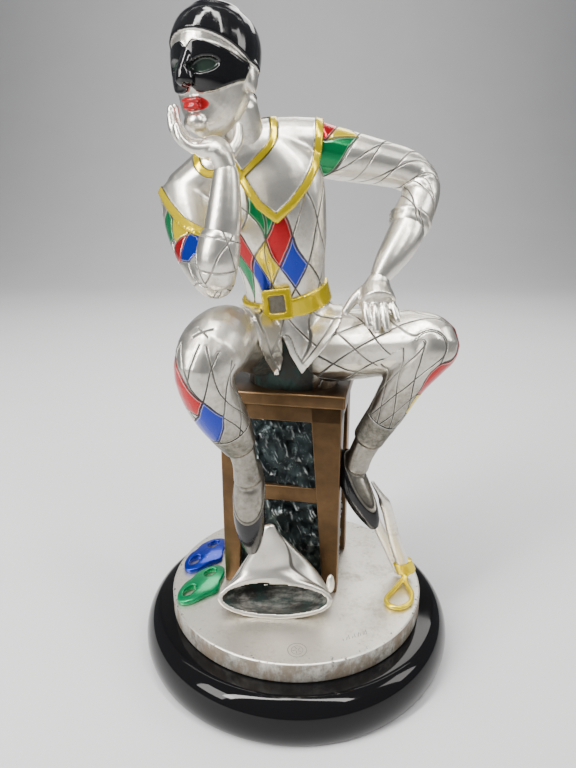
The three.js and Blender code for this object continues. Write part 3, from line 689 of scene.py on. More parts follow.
def round_limb(places, stations, side, origin=(0, 0, SEAT)):
    """For each place: how far it is along the limb in mm, and its angle round it from 0 to 1."""
    rows = in_between(stations, 8)
    centres, along, across, through = frames_of(rows, side, origin)
    reach = np.concatenate([[0], np.cumsum(np.linalg.norm(np.diff(centres, axis=0), axis=1))])
    nearest = np.empty(len(places), dtype=int)
    for start in range(0, len(places), 8000):
        part = places[start:start + 8000]
        gaps = ((part[:, None, :] - centres[None, :, :]) ** 2).sum(axis=2)
        nearest[start:start + 8000] = gaps.argmin(axis=1)
    ahead = ((places - centres[nearest]) * along[nearest]).sum(axis=1)
    low = np.clip(np.where(ahead < 0, nearest - 1, nearest), 0, len(rows) - 2)
    before = ((places - centres[low]) * along[low]).sum(axis=1)
    after = ((places - centres[low + 1]) * along[low + 1]).sum(axis=1)
    share = before / np.maximum(before - after, 1e-6)
    first, last = (nearest == 0) & (ahead < 0), (nearest == len(rows) - 1) & (ahead > 0)
    held = np.clip(share, 0.0, 1.0)
    run = reach[low] + held * (reach[low + 1] - reach[low])
    run = np.where(first | last, reach[nearest] + ahead, run)

    def mixed(values):
        part = held if values.ndim == 1 else held[:, None]
        return values[low] * (1 - part) + values[low + 1] * part

    offset = places - mixed(centres)
    wide = (offset * mixed(across)).sum(axis=1) / mixed(rows[:, 3])
    deep = (offset * mixed(through)).sum(axis=1) / mixed(rows[:, 4])
    return run, np.arctan2(deep, wide) / (2 * math.pi) % 1.0


def note(piece, name, values):
    """Keeps one number for each point of a mesh, for the finish to read."""
    held = piece.data.attributes.get(name) or piece.data.attributes.new(name, "FLOAT", "POINT")
    held.data.foreach_set("value", np.asarray(values, dtype=np.float32))


def weave(around, along, first, second, pins=()):
    """Two counts over a limb whose whole numbers are the lattice's two sets of lines.

    Each set is (lines round the limb, length along it of one step). The lattice is bent softly so
    that each pin, (turn, reach, first, second), is where those two lines cross."""
    counts = np.column_stack([around * first[0] + along / first[1], around * second[0] + along / second[1]])
    if not pins:
        return counts
    turn, reach, *want = np.array(pins, dtype=float).T
    plain = np.column_stack([turn * first[0] + reach / first[1], turn * second[0] + reach / second[1]])
    left = np.column_stack(want) - plain
    phase = left.mean(axis=0)

    def pull(turns, reaches):
        apart = (turns[:, None] - turn[None, :] + 0.5) % 1.0 - 0.5
        return np.exp(-((apart * 110) ** 2 + (reaches[:, None] - reach[None, :]) ** 2) / (2 * 15.0 ** 2))

    weights = np.linalg.solve(pull(turn, reach) + 0.03 * np.eye(len(turn)), left - phase)
    return counts + phase + pull(around, along) @ weights


def unwrap(piece, around, counts, turns):
    """Lays the two counts on a mesh as a map named lattice, unbroken where it closes round the limb."""
    corners = np.empty(len(piece.data.loops), dtype=int)
    piece.data.loops.foreach_get("vertex_index", corners)
    starts = np.empty(len(piece.data.polygons), dtype=int)
    piece.data.polygons.foreach_get("loop_start", starts)
    totals = np.empty(len(piece.data.polygons), dtype=int)
    piece.data.polygons.foreach_get("loop_total", totals)
    turn = around[corners]
    face = np.repeat(np.arange(len(starts)), totals)
    broken = np.maximum.reduceat(turn, starts)[face] - np.minimum.reduceat(turn, starts)[face] > 0.5
    spread = counts[corners] + np.outer(broken & (turn < 0.5), turns)
    layer = piece.data.uv_layers.get("lattice") or piece.data.uv_layers.new(name="lattice")
    layer.data.foreach_set("uv", spread.ravel())


def engrave(counts, steps_mm, depth):
    """How far to press the lattice's lines in. steps_mm is the distance between lines of each set."""
    beside = (abs(counts - np.round(counts)) * steps_mm).min(axis=1)
    return -depth * np.exp(-(beside / 0.55) ** 2)


def from_line(x, y, corners):
    """How far each point of a plane is from a line through the corners."""
    nearest = np.full(len(x), 99.0)
    for (x0, y0), (x1, y1) in zip(corners, corners[1:]):
        dx, dy = x1 - x0, y1 - y0
        share = np.clip(((x - x0) * dx + (y - y0) * dy) / (dx * dx + dy * dy), 0, 1)
        nearest = np.minimum(nearest, np.hypot(x - x0 - share * dx, y - y0 - share * dy))
    return nearest


def patch(around, along, girth, corners):
    """How far each point lies inside a closed outline drawn on the unrolled limb, in millimetres."""
    x, y = around * girth, along
    outline = [(turn * girth, run) for turn, run in corners + corners[:1]]
    inside = np.zeros(len(x), dtype=bool)
    for (x0, y0), (x1, y1) in zip(outline, outline[1:]):
        if y0 != y1:
            inside ^= ((y0 > y) != (y1 > y)) & (x < x0 + (y - y0) * (x1 - x0) / (y1 - y0))
    nearest = from_line(x, y, outline)
    return np.where(inside, nearest, -nearest)


def hollows(piece, rounds=3):
    """How far each point lies in a crease, from 0 to 1, kept on the mesh as hollow."""
    places, normals = points_of(piece)
    ends = np.empty(len(piece.data.edges) * 2, dtype=int)
    piece.data.edges.foreach_get("vertices", ends)
    ends = ends.reshape(-1, 2)
    count = np.bincount(ends.ravel(), minlength=len(places))[:, None]

    def mean(values):
        total = np.zeros_like(values)
        np.add.at(total, ends[:, 0], values[ends[:, 1]])
        np.add.at(total, ends[:, 1], values[ends[:, 0]])
        return total / np.maximum(count, 1)

    lifted = ((mean(places) - places) * normals).sum(axis=1)[:, None]
    step = np.linalg.norm(places[ends[:, 0]] - places[ends[:, 1]], axis=1).mean()
    depth = lifted / step ** 2
    for _ in range(rounds):
        depth = 0.5 * depth + 0.5 * mean(depth)
    note(piece, "hollow", np.clip(depth[:, 0] * 2.2, -1.0, 1.0))


def paint_shade_and_tarnish(piece, low=(0, 0), between=0.0):
    """Painted shade on the silver: grey low down on the legs, shade with some grey tarnish, and dark between
    the thighs under the skirt, where shade falls.

    low is the level above the seat from which the grey grows downwards, and its most."""
    x, y, z = (points_of(piece)[0] - (0, 0, SEAT)).T
    grey = np.clip((low[0] - z) / 60, 0, 1) * low[1]
    lap = np.clip(1 - abs(x + 8) / 24, 0, 1) * np.clip((34 - z) / 12, 0, 1) * np.clip((y + 36) / 10, 0, 1)
    dull = np.maximum(grey, between * np.clip(lap * 3, 0, 1))
    note(piece, "dull", dull)
    return dull


LINE_WIDE = 0.46


def clothed(name, cells, steps_mm, patches=(), seam=False):
    """The suit's finish: silver with dark lattice and hem lines, and enamel in some of the lozenges.

    A cell is named by its two whole numbers on the lattice, and a patch by the number that the mesh
    holds for it."""
    material, bench = finish_of(name)
    first, second, _ = bench.axes(bench.node("ShaderNodeUVMap", {"uv_map": "lattice"}))
    shake = (bench.cloud(180) - 0.5) * 0.05
    first, second = first + shake, second - shake
    beside = (abs(first - bench.math("ROUND", first)) * steps_mm[0]).least(
        abs(second - bench.math("ROUND", second)) * steps_mm[1])
    if seam:
        beside = beside.least(abs(first + second) * (steps_mm[0] * 0.7))
    beside = beside + bench.held("plain") * FAR
    colour, roughness, metal, height, cloud, mottle = silver_layer(bench, bench.held("hollow"))
    row, column = bench.math("FLOOR", first), bench.math("FLOOR", second)
    filled = []
    for shade, places in cells.items():
        for i, j in places:
            inside = bench.math("COMPARE", row, float(i), 0.1) * bench.math("COMPARE", column, float(j), 0.1)
            filled.append((shade, inside))
    for shade in patches:
        gap = bench.held(shade)
        inside = gap.rise(-0.06, 0.06)
        filled.append((shade, inside))
        beside = (beside + inside * FAR).least(abs(gap))
    glaze = 0.0
    for shade, inside in filled:
        tone = (cloud * 0.35).over(ENAMELS[shade], tuple(0.45 * part for part in ENAMELS[shade]))
        colour = inside.over(colour, tone)
        glaze = inside + glaze
    beside = beside.least(bench.held("hem"))
    faint = bench.cloud(60, 3.0).rise(0.30, 0.60) * 0.45 + 0.55
    line = (1.0 - beside.rise(LINE_WIDE * 0.5, LINE_WIDE * 1.2)) * faint
    lip = beside.rise(LINE_WIDE * 0.9, LINE_WIDE * 1.4)
    lip = lip * (1.0 - beside.rise(LINE_WIDE * 1.5, LINE_WIDE * 2.4))
    if filled:
        glaze = glaze.least(1.0) * (1.0 - bench.cloud(700, 3.0).rise(0.66, 0.72) * 0.5)
        roughness = glaze.between(roughness, 0.16 + mottle * 0.08)
        metal = glaze.between(metal, 0.6)
    colour = (lip * 0.35).over(colour, (0.80, 0.78, 0.72))
    colour = (line * 0.92).over(colour, (0.018, 0.018, 0.017))
    roughness = line.between(roughness, 0.6)
    metal = line.between(metal, 0.2)
    lay(bench, colour, roughness, metal, height * 0.35 - line * 1.1 + lip * 0.25, 0.22 * MM, glaze * 0.3,
        {"Coat Roughness": 0.05, "Specular IOR Level": 0.35})
    return material


TUNIC_FIRST = (11, 29.0)
TUNIC_SECOND = (11, -29.0)
TUNIC_STEPS = (11.3, 11.3)
TUNIC_PINS = [
    (0.6914, 84.8, 0, 0), (0.7780, 87.7, 1, 1), (0.7164, 70.1, 0, 1), (0.6321, 79.2, -1, 0),
    (0.6788, 61.4, -1, 1), (0.5984, 69.0, -2, 0), (0.8101, 102.9, 2, 1), (0.8430, 86.6, 2, 2),
    (0.8132, 70.5, 1, 2), (0.7597, 57.8, 0, 2), (0.9000, 104.4, 3, 2), (0.7635, 100.1, 1, 0),
    (0.6707, 101.0, 0, -1), (0.6175, 94.6, -1, -1),
]
TUNIC_CELLS = {
    "red": [(0, 0), (-2, -1)], "blue": [(0, 1), (-2, 0)], "green": [(0, -1), (-3, -1)], "yellow": [(-1, 0)],
}
tunic = fused([limb(TORSO, SPINE_SIDE, sides=28), limb(YOKE, SIDE_Y)], 0.62, 10)
reach, turn = round_limb(points_of(tunic)[0], TORSO, SPINE_SIDE)
counts = weave(turn, reach, TUNIC_FIRST, TUNIC_SECOND, TUNIC_PINS)
unwrap(tunic, turn, counts, (11, 11))
press(tunic, engrave(counts, TUNIC_STEPS, 0.35))
hollows(tunic)
note(tunic, "hem", np.full(len(tunic.data.vertices), FAR))
note(tunic, "plain", paint_shade_and_tarnish(tunic, between=1.0) > 0.5)
keep(tunic, "tunic_body", clothed("tunic_cloth", TUNIC_CELLS, TUNIC_STEPS, seam=True), "silver", "figure")


# The sleeves: each is cut to fit the arm, ends in a raised edge below the elbow, and is worn over a
# smooth undersleeve that reaches the wrist. The cloth is bunched inside the bend of the elbow.
LEFT_SLEEVE = [
    [10, 8, 131.4, 14.2], [25.8, 11, 128.2, 13.4], [48, 15, 124.2, 11.8], [61.5, 17, 120.6, 11.2],
    [69, 16, 114, 10.6], [68.2, 10.5, 106, 10.6], [62.2, 2, 95.2, 11.4], [60.4, -0.5, 91.6, 11.4],
]
LEFT_CUFF = [[62, 1.5, 95, 9.6], [57, -6, 85.2, 9.8], [49, -14, 74.4, 8], [43, -19, 66, 5.4]]
RIGHT_SLEEVE = [
    [-58.5, -8, 105.5, 14.3], [-56, -20, 93.5, 12.8], [-50.5, -36, 81.5, 11.2], [-42, -51, 72, 10.4],
    [-38.4, -57.5, 70, 9.4],
]
RIGHT_FORESLEEVE = [[-39, -56, 70.5, 9.2], [-38.3, -58, 79, 10.3], [-36.4, -57, 89.5, 9.6]]
RIGHT_CUFF = [
    [-36.5, -57, 88, 8.4], [-34.9, -56, 97, 8.4], [-33.6, -54.5, 111, 6.8], [-33.3, -53.5, 119, 5.4],
]


def fold(along, around, place, angle, wide, depth, lean=0.0):
    """A crease across a limb, deepest at one angle round it, in millimetres."""
    away = (around - angle + 0.5) % 1.0 - 0.5
    run = along - place - lean * away * 40
    return -depth * np.exp(-(run / wide) ** 2) * np.exp(-(away / 0.16) ** 2)


def cuff_edge(along, place, rise, wide=0.9):
    """A raised edge all round a limb."""
    return rise * np.exp(-((along - place) / wide) ** 2)


def dressed_limb(name, forms, stations, side, first, second, girth, pins=(), patches=None, shape=None,
                 hems=(), scratches=(), woven=(-99, 999)):
    """A limb of the suit: its forms fused, shaped, engraved and finished.

    It has no lattice outside the stretch called woven, only scratches and the edges of its enamels."""
    piece = fused(forms, 0.55, 8)
    reach, turn = round_limb(points_of(piece)[0], stations, side)
    if shape:
        press(piece, shape(reach, turn))
        modify(piece, "SMOOTH", factor=0.5, iterations=2)
    counts = weave(turn, reach, first, second, pins)
    unwrap(piece, turn, counts, (first[0], second[0]))
    steps = tuple(1 / math.hypot(turns / girth, 1 / length) for turns, length in (first, second))
    hem = np.full(len(reach), FAR)
    for place in hems:
        hem = np.minimum(hem, abs(reach - place))
    for ends in scratches:
        hem = np.minimum(hem, -1.5 * patch(turn, reach, girth, list(ends)))
    note(piece, "hem", hem)
    plain = (reach < woven[0]) | (reach > woven[1])
    note(piece, "plain", plain)
    depth = np.where(plain, 0, engrave(counts, steps, 0.32))
    for shade, corners in (patches or {}).items():
        gap = patch(turn, reach, girth, corners)
        note(piece, shade, gap)
        depth = np.where(gap > 0.5, 0, depth) - 0.25 * np.exp(-(gap / 0.5) ** 2)
    press(piece, depth - 0.3 * np.exp(-(hem / 0.5) ** 2))
    hollows(piece)
    paint_shade_and_tarnish(piece, (48, 0.84) if "leg" in name else (0, 0), 0.9)
    keep(piece, name, clothed(name + "_cloth", {}, steps, list(patches or {})), "silver", "figure")


def left_sleeve_shape(along, around):
    return (fold(along, around, 60, 0.6, 1.6, 0.8, 0.3) + fold(along, around, 66, 0.6, 1.5, 0.9)
            + fold(along, around, 72, 0.6, 1.5, 0.7, -0.3) + cuff_edge(along, 90, 0.9))


dressed_limb(
    "left_sleeve", [limb(LEFT_SLEEVE, SIDE_Y)], LEFT_SLEEVE, SIDE_Y, (3, 15.5), (4, 24.0), 75,
    pins=[(0.642, 8.5, 0, 0), (0.369, 33.0, 1, 0)], shape=left_sleeve_shape, hems=[98.5], patches={
        "green": [(0.45, -4.0), (0.60, -2.0), (0.70, 5.5), (0.642, 8.5), (0.4634, 13.9), (0.3578, 19.9),
                  (0.4006, 9.5), (0.4477, 1.4)],
        "yellow": [(0.4477, 1.4), (0.4006, 9.5), (0.3578, 19.9), (0.30, 17.0), (0.27, 9.0), (0.3482, 6.2)],
        "red": [(0.4477, -4.0), (0.4477, 1.4), (0.3482, 6.2), (0.27, 9.0), (0.2, 5.0), (0.25, -4.0)],
    })
dressed_limb(
    "right_sleeve", [limb(RIGHT_SLEEVE)], RIGHT_SLEEVE, SIDE_X, (5, 26.0), (5, -26.0), 75, patches={
        "green": [(0.37, 14.0), (0.366, 22.0), (0.415, 33.0), (0.50, 30.0), (0.50, 16.0)],
        "yellow": [(0.366, 21.6), (0.30, 24.0), (0.2634, 32.7), (0.282, 36.1), (0.2944, 37.4),
                   (0.4047, 35.6), (0.415, 33.0), (0.40, 28.0)],
        "red": [(0.4047, 35.6), (0.2944, 37.4), (0.3725, 41.7), (0.461, 45.0), (0.53, 42.0), (0.50, 36.0)],
        "blue": [(0.2944, 37.4), (0.24, 38.0), (0.1967, 41.7), (0.2617, 51.9), (0.40, 52.0), (0.461, 45.0),
                 (0.3725, 41.7)],
    })
dressed_limb(
    "right_foresleeve", [limb(RIGHT_FORESLEEVE)], RIGHT_FORESLEEVE, SIDE_X, (3, 34.0), (3, -34.0), 62,
    hems=[6.0, 18.5])


def plain_silver(name):
    material, bench = finish_of(name)
    colour, roughness, metal, height, *_ = silver_layer(bench, bench.held("hollow"))
    lay(bench, colour, roughness, metal, height, 0.12 * MM)
    return material


silver_smooth = plain_silver("silver_smooth")
for name, stations in (("left_cuff", LEFT_CUFF), ("right_cuff", RIGHT_CUFF)):
    cuff = fused([limb(stations)], 0.6, 4)
    hollows(cuff)
    keep(cuff, name, silver_smooth, "silver", "figure")


# The legs: breeches of the same lattice cloth reach to mid-calf, where they end in a fine hem over
# plain stockings. The right leg crosses in front of the stool, the left is drawn up beside it.
RIGHT_LEG = [
    [-16, 10, 22, 20, 20], [-28.5, -18, 30.5, 15, 17], [-36.5, -44, 39, 15.3, 17.2],
    [-40.5, -65, 38.5, 16.6], [-44, -72, 30.5, 14.6], [-43, -70, 19, 13.2],
    [-38.7, -64.5, 6.5, 12.7], [-33.6, -59.5, -5.5, 10.9],
    [-30, -57, -14, 8.8],
]
LEFT_LEG = [
    [9, 10, 23, 24], [31, -7, 27, 20.8], [51, -20, 31, 18], [62, -28, 33.2, 16.8], [69.3, -33.5, 33, 15.2],
    [66.3, -34.3, 27, 13.2], [61.5, -32.5, 19.5, 12.3], [57, -28, 9, 11.2], [50.8, -22, -7.5, 10.2],
    [44.8, -18, -20, 9.5], [41.5, -16, -27, 9.2],
]
RIGHT_ANKLE = [[-30.5, -57, -12, 7.4], [-27.8, -55, -24, 6.6, 7], [-26.6, -53, -34, 7.6, 9.5]]
LEFT_ANKLE = [[43, -16.5, -25, 8.2], [38, -13.5, -38, 7.4], [35.5, -11.5, -47, 7.6, 9]]
RIGHT_SHOE = [
    [-25, -48, -28, 5.6, 5], [-26, -51, -38, 7.8, 9], [-26.3, -53, -50, 8, 8.2],
    [-26, -52.5, -62, 7.6, 6.4],
    [-25.6, -51, -73, 5.6, 4.6], [-25.4, -50, -80, 3, 2.8],
]
LEFT_SHOE = [
    [29.5, -6.5, -42, 5, 5], [32.5, -10, -52, 7.6, 8.6], [36.5, -15, -62, 8, 8], [41, -19, -70.5, 6.8, 6.6],
    [44.6, -21.5, -77.5, 4.6, 4.6], [46, -22.5, -81.5, 2.6, 2.6],
]
dressed_limb(
    "right_leg", [limb(RIGHT_LEG, sides=24)], RIGHT_LEG, SIDE_X, (8, 26.0), (8, -26.0), 105, hems=[130.5],
    scratches=[((0.315, 87.2), (0.225, 84.5)), ((0.305, 84.8), (0.24, 86.6))], woven=(88, 130.5),
    pins=[(0.1963, 91.8, 0, 0), (0.2529, 102.1, 1, 0), (0.1271, 106.2, 0, -1), (0.1708, 112.7, 1, -1),
          (0.306, 127.3, 2, -1), (0.2603, 86.9, 0, 1)], patches={
        "red": [(0.4448, 91.3), (0.335, 96.4), (0.2529, 102.1), (0.3107, 108.9), (0.40, 107.0),
                (0.52, 98.0), (0.55, 90.0)],
        "blue": [(0.2529, 102.1), (0.1708, 112.7), (0.21, 120.0), (0.29, 128.0), (0.42, 129.0),
                 (0.45, 118.0), (0.3107, 108.9)],
    })
dressed_limb(
    "left_leg", [limb(LEFT_LEG, SIDE_Y, sides=24, steps=7)], LEFT_LEG, SIDE_Y, (8, 26.0), (8, -26.0), 105,
    hems=[128.0], woven=(-99, 128.0), pins=[(0.4814, 39.8, 1, 2), (0.4303, 51.5, 1, 1), (0.3772, 63.6, 1, 0),
                        (0.3556, 43.8, 0, 1), (0.4059, 30.1, 0, 2), (0.5513, 47.7, 2, 2),
                        (0.5262, 62.0, 2, 1)], patches={
        "red": [(0.25, 74.5), (0.3455, 76.3), (0.3914, 78.0), (0.422, 78.8), (0.4387, 80.7), (0.4473, 84.6),
                (0.4188, 93.2), (0.4012, 100.0), (0.30, 101.0), (0.20, 92.0), (0.18, 80.0)],
        "yellow": [(0.4012, 100.0), (0.392, 107.8), (0.375, 116.5), (0.30, 117.0), (0.25, 108.0),
                   (0.28, 101.0)],
    })


# The feet: plain stockings in low black pumps with pointed toes. Both feet hang toe down. A pump's
# opening is low over the instep and rises to the heel, and has a bright silver rim.
def shod(name, forms, front, facing, rise=0.7):
    """A stockinged foot in a shoe whose opening is a plane through the instep."""
    foot = fused(forms, 0.5, 6)
    places, _ = points_of(foot)
    below = (np.array(front) - places) @ np.array(facing) / np.linalg.norm(facing)
    press(foot, rise * np.clip(below / 0.7 + 0.5, 0, 1))
    note(foot, "shoe", below)
    hollows(foot)
    paint_shade_and_tarnish(foot, (48, 0.76))
    material, bench = finish_of(name)
    colour, roughness, metal, height, cloud, mottle = silver_layer(bench, bench.held("hollow"))
    shoe = bench.held("shoe")
    black = shoe.rise(0.25, 0.45)
    dark = (1.0 - shoe.rise(-0.3, -0.1)) * shoe.rise(-0.9, -0.5)
    colour = (dark * 0.7).over(colour, (0.05, 0.045, 0.04))
    colour = black.over(colour, BLACK)
    lay(bench, colour, black.between(roughness, 0.10 + mottle * 0.05), black.between(metal, 0.0), height,
        0.12 * MM, fixed={"Specular IOR Level": 0.4})
    keep(foot, name, material, "lacquer", "figure")


shod("right_foot", [limb(RIGHT_ANKLE), limb(RIGHT_SHOE)], (-24.9, -57.8, 118.3), (-0.104, -0.889, 0.445))
shod("left_foot", [limb(LEFT_ANKLE), limb(LEFT_SHOE)], (34.3, -19.4, 116.3), (0.422, -0.717, 0.554))


# The hands: bare, with long fingers. The left rests on the thigh, and the right holds up the chin.
LEFT_PALM = [[43, -19, 66, 5.4, 4.8], [41.5, -22, 59.5, 8.4, 4.6], [41.5, -26.5, 54, 10, 4.4]]
LEFT_FINGERS = [
    [[35.5, -26.5, 54.5, 2.6], [35, -31.5, 50.5, 2.4], [36.5, -35, 43.5, 1.9]],
    [[39.5, -28, 54, 2.7], [39.8, -33.5, 49.5, 2.5], [40.5, -36.5, 41.5, 2]],
    [[43.8, -28, 54, 2.7], [44.6, -33, 49, 2.4], [45.6, -36, 42, 1.9]],
    [[48, -26.5, 54, 2.5], [50, -30.5, 51, 2.2], [51.5, -33.5, 46, 1.8]],
    [[35.5, -21, 60, 3.2], [29.5, -25, 55.5, 2.8], [24.5, -29, 49.5, 2]],
]
RIGHT_PALM = [[-33.3, -53.5, 119, 5, 5.2], [-36, -52.5, 126, 5.4, 7.4], [-41.5, -50.5, 129, 4.4, 9]]
RIGHT_FINGERS = [
    [[-42, -43.5, 130, 2.5], [-50, -43.5, 131.5, 2.4], [-55.5, -43, 138, 2.2], [-57, -41.5, 146, 1.8]],
    [[-42, -47.5, 129, 2.6], [-50.5, -47.5, 130, 2.5], [-56.5, -47, 137, 2.3], [-58, -45.5, 145, 1.8]],
    [[-41.5, -52, 128.5, 2.6], [-50, -52, 129, 2.4], [-56, -51.5, 135, 2.2], [-57.5, -50, 142, 1.8]],
    [[-40.5, -56.5, 127.5, 2.4], [-47.5, -56.5, 127.5, 2.2], [-52.5, -56, 131.5, 2],
     [-54.5, -54.5, 137, 1.6]],
    [[-33, -50, 124, 3.2], [-28.5, -46.5, 131, 2.8], [-28, -43, 138, 2.1]],
]
for name, palm, fingers in (("left_hand", LEFT_PALM, LEFT_FINGERS),
                            ("right_hand", RIGHT_PALM, RIGHT_FINGERS)):
    hand = fused([limb(palm)] + [limb(finger, sides=12, dome=0.9) for finger in fingers], 0.4, 4)
    hollows(hand)
    keep(hand, name, silver_smooth, "silver", "figure")


# The head: turned to the side and bowed onto the hand, with a smooth black cap, a black half mask
# with slanting eye holes, and red lips. The face is a plain one of even proportions.
HEAD_PLACE = (-39.6, -23.0, 164.0 + SEAT)
HEAD_TURN = -30.0
NECK = [[-26, 0, 124, 12.5], [-28, -7, 138, 10.5], [-31, -12, 150, 10.5]]
SKULL = [
    [0, -15, -25, 6.5, 6], [0, -9.5, -20.5, 12.5, 13], [0, -5, -14, 15.6, 17.5], [0, -2, -5, 17.8, 20.5],
    [0, 0, 4, 19, 22.2], [0, 1, 12, 18.8, 21.8], [0, 1.5, 19, 16, 18.8], [0, 2, 23.6, 11, 13.4],
]
NOSE = [[0, -19.5, 5, 2, 2.5], [0, -22.5, -2, 2.6, 3.6], [0, -23.5, -7, 3.4, 3.6]]


def ball(x, y, z, wide, deep, high):
    """An ellipsoid given by its centre and half sizes."""
    bare()
    bpy.ops.mesh.primitive_uv_sphere_add(segments=28, ring_count=16, radius=1.0,
                                         location=(x * MM, y * MM, z * MM))
    piece = bpy.context.object
    piece.scale = (wide * MM, deep * MM, high * MM)
    settle(piece)
    return piece


def step_up(distance, wide=0.5):
    """0 outside an edge and 1 inside it, over a narrow width in millimetres."""
    share = np.clip(distance / wide + 0.5, 0, 1)
    return share * share * (3 - 2 * share)


head = joined([
    limb(SKULL, sides=32, dome=0.3, origin=(0, 0, 0)), limb(NOSE, sides=16, origin=(0, 0, 0)),
    ball(0, -17.5, -24, 6, 4.6, 4.4), ball(-18.6, 2.5, -4, 2.2, 4.4, 6.8),
    ball(18.6, 2.5, -4, 2.2, 4.4, 6.8), ball(0, -20.2, -14.9, 5.6, 2.0, 1.5),
    ball(0, -20.0, -17.7, 4.8, 2.2, 1.7),
])
head.rotation_euler = (0, 0, math.radians(HEAD_TURN))
head.location = tuple(part * MM for part in HEAD_PLACE)
settle(head)
head = fused([head, limb(NECK, sides=24)], 0.42, 7)
places, normals = points_of(head)
swing = math.radians(-HEAD_TURN)
flat = places - HEAD_PLACE
x = flat[:, 0] * math.cos(swing) - flat[:, 1] * math.sin(swing)
y = flat[:, 0] * math.sin(swing) + flat[:, 1] * math.cos(swing)
z = flat[:, 2]
lean = math.radians(30)
cap = (z - 15) * math.cos(lean) + (y + 23) * math.sin(lean)
reach = np.arctan2(z + 1, x)
drop = 1 + 0.28 * np.sin(reach).clip(-1, 0) * -np.cos(reach) ** 2
drop -= 0.30 * np.exp(-(np.cos(reach) / 0.2) ** 2)
radius = np.hypot(x / 19.5, (z + 1) / (10.5 * drop))
mask = (1 - radius) * 10
mask = np.where(y < 2, mask, -9)
eyes = np.minimum(np.hypot((abs(x) - 7.4) / 5.4, (z + 0.9 - (abs(x) - 7.4) * 0.16) / 3.0), 3)
lips = (1 - np.hypot(x / 7.4, (z + 16.3) / 3.2)) * 3
lips = np.where(y < -14, lips, -9)
sockets = (1 - eyes) * 3
press(head, 1.5 * step_up(cap, 0.8) + 1.2 * step_up(mask, 0.7) - 2.0 * step_up(sockets, 1.0) * (y < 0))
hollows(head)
note(head, "cap", cap)
note(head, "mask", mask)
note(head, "eye", np.where(y < 0, sockets, -9))
note(head, "lips", lips)
material, bench = finish_of("head_finish")
colour, roughness, metal, height, cloud, mottle = silver_layer(bench, bench.held("hollow"))
black = bench.held("cap").rise(-0.1, 0.1).most(bench.held("mask").rise(-0.1, 0.1))
hole = bench.held("eye").rise(-0.1, 0.5)
red = bench.held("lips").rise(-0.1, 0.1)
colour = black.over(colour, BLACK)
colour = hole.over(colour, (0.02, 0.035, 0.026))
colour = red.over(colour, (0.42, 0.008, 0.012))
paint = black.most(red)
lay(bench, colour, paint.between(roughness, 0.09 + mottle * 0.05), paint.between(metal, 0.0),
    height * (1.0 - paint * 0.7), 0.12 * MM, fixed={"Specular IOR Level": 0.5})
keep(head, "head", material, "silver", "figure")


# The collar: a wide smooth cape collar with two long points, edged with yellow enamel, and a round
# yellow band at the neck. It is cast a little proud of the tunic.
COLLAR = [
    [13.2, 152], [12.3, 140], [11.3, 128.7], [9.6, 120.9], [5, 112.1], [-1.7, 103.2], [-11.2, 94.4],
    [-21.3, 102], [-28, 111.5], [-34, 121], [-36.5, 100], [-41, 86.5], [-47.3, 88.8], [-58.2, 94.4],
    [-65.8, 101.5], [-71.8, 108.6], [-76, 112.5], [-76, 152],
]
NECK_WIDE = 20.5
NECK_DEEP = 17.0
NECK_BACK = 11.0
NECK_ASIDE = np.array((1, 0, 0.11))
NECK_THROUGH = np.array((-0.3, 0.915, 0.367))
NECK_MIDDLE = (-17.5, 53.6)
NECK_BAND = 1.9
COLLAR_RISE = 1.3
BORDER_RISE = 0.8
BORDER_WIDTH = 3.6


def prism(outline, near, far):
    """A flat shape in the upright plane, drawn point by point and extruded away from the viewer."""
    bare()
    (x, z), *rest = outline
    bpy.ops.mesh.primitive_plane_add(size=MM, location=(x * MM, near * MM, z * MM))
    piece = bpy.context.object
    settle(piece)
    bpy.ops.object.mode_set(mode="EDIT")
    bpy.ops.mesh.select_all(action="SELECT")
    bpy.ops.mesh.merge(type="CENTER")
    for next_x, next_z in rest:
        step = ((next_x - x) * MM, 0, (next_z - z) * MM)
        bpy.ops.mesh.extrude_vertices_move(TRANSFORM_OT_translate={"value": step})
        x, z = next_x, next_z
    bpy.ops.mesh.select_all(action="SELECT")
    bpy.ops.mesh.edge_face_add()
    bpy.ops.mesh.extrude_region_move(TRANSFORM_OT_translate={"value": (0, (far - near) * MM, 0)})
    facing_out(piece)
    return piece


def cut(piece, shape, operation="INTERSECT", solver="FAST"):
    """One closed form cut by another, which is used up."""
    modify(piece, "BOOLEAN", operation=operation, object=shape, solver=solver)
    bpy.data.objects.remove(shape)


def shoulders(grow):
    return fused([
        limb(TORSO[4:], SPINE_SIDE, sides=28, grow=grow), limb(YOKE, SIDE_Y, grow=grow),
        limb(LEFT_SLEEVE[:3], SIDE_Y, grow=grow), limb(RIGHT_SLEEVE[:3], grow=grow),
    ], 0.7, 8)


def raised(points):
    return [(x, z + SEAT) for x, z in points]


def from_outline(places, outline):
    """How far each point of a mesh is from an open outline, in the upright plane."""
    return from_line(places[:, 0], places[:, 2], raised(outline))


def enamelled(name, colour, wear=0.5, edge=None):
    """Glossy enamel over silver, darker where it lies thick, with a dark line where it ends.

    Where edge names a held number, the enamel covers only the side on which that number is above 0."""
    material, bench = finish_of(name)
    base, roughness, metal, height, cloud, mottle = silver_layer(bench, bench.held("hollow"))
    tone = (cloud * 0.5).over(colour, tuple(0.5 * part for part in colour))
    chip = (bench.cloud(800, 3.0).rise(0.66, 0.70) * bench.cloud(90).rise(0.45, 0.6)) * wear
    grime = bench.held("hollow").rise(0.35, 0.8)
    glaze = 1.0 - chip
    if edge:
        gap = bench.held(edge)
        glaze = glaze * gap.rise(-0.12, 0.12)
        grime = grime.most(1.0 - abs(gap).rise(0.12, 0.45))
    shade = glaze.over(base, tone)
    shade = (grime * 0.85).over(shade, (0.02, 0.018, 0.012))
    lay(bench, shade, glaze.between(roughness, 0.16 + mottle * 0.08), glaze.between(metal, 0.6),
        height * 0.3, 0.1 * MM, glaze * 0.3, {"Coat Roughness": 0.05, "Specular IOR Level": 0.35})
    return material


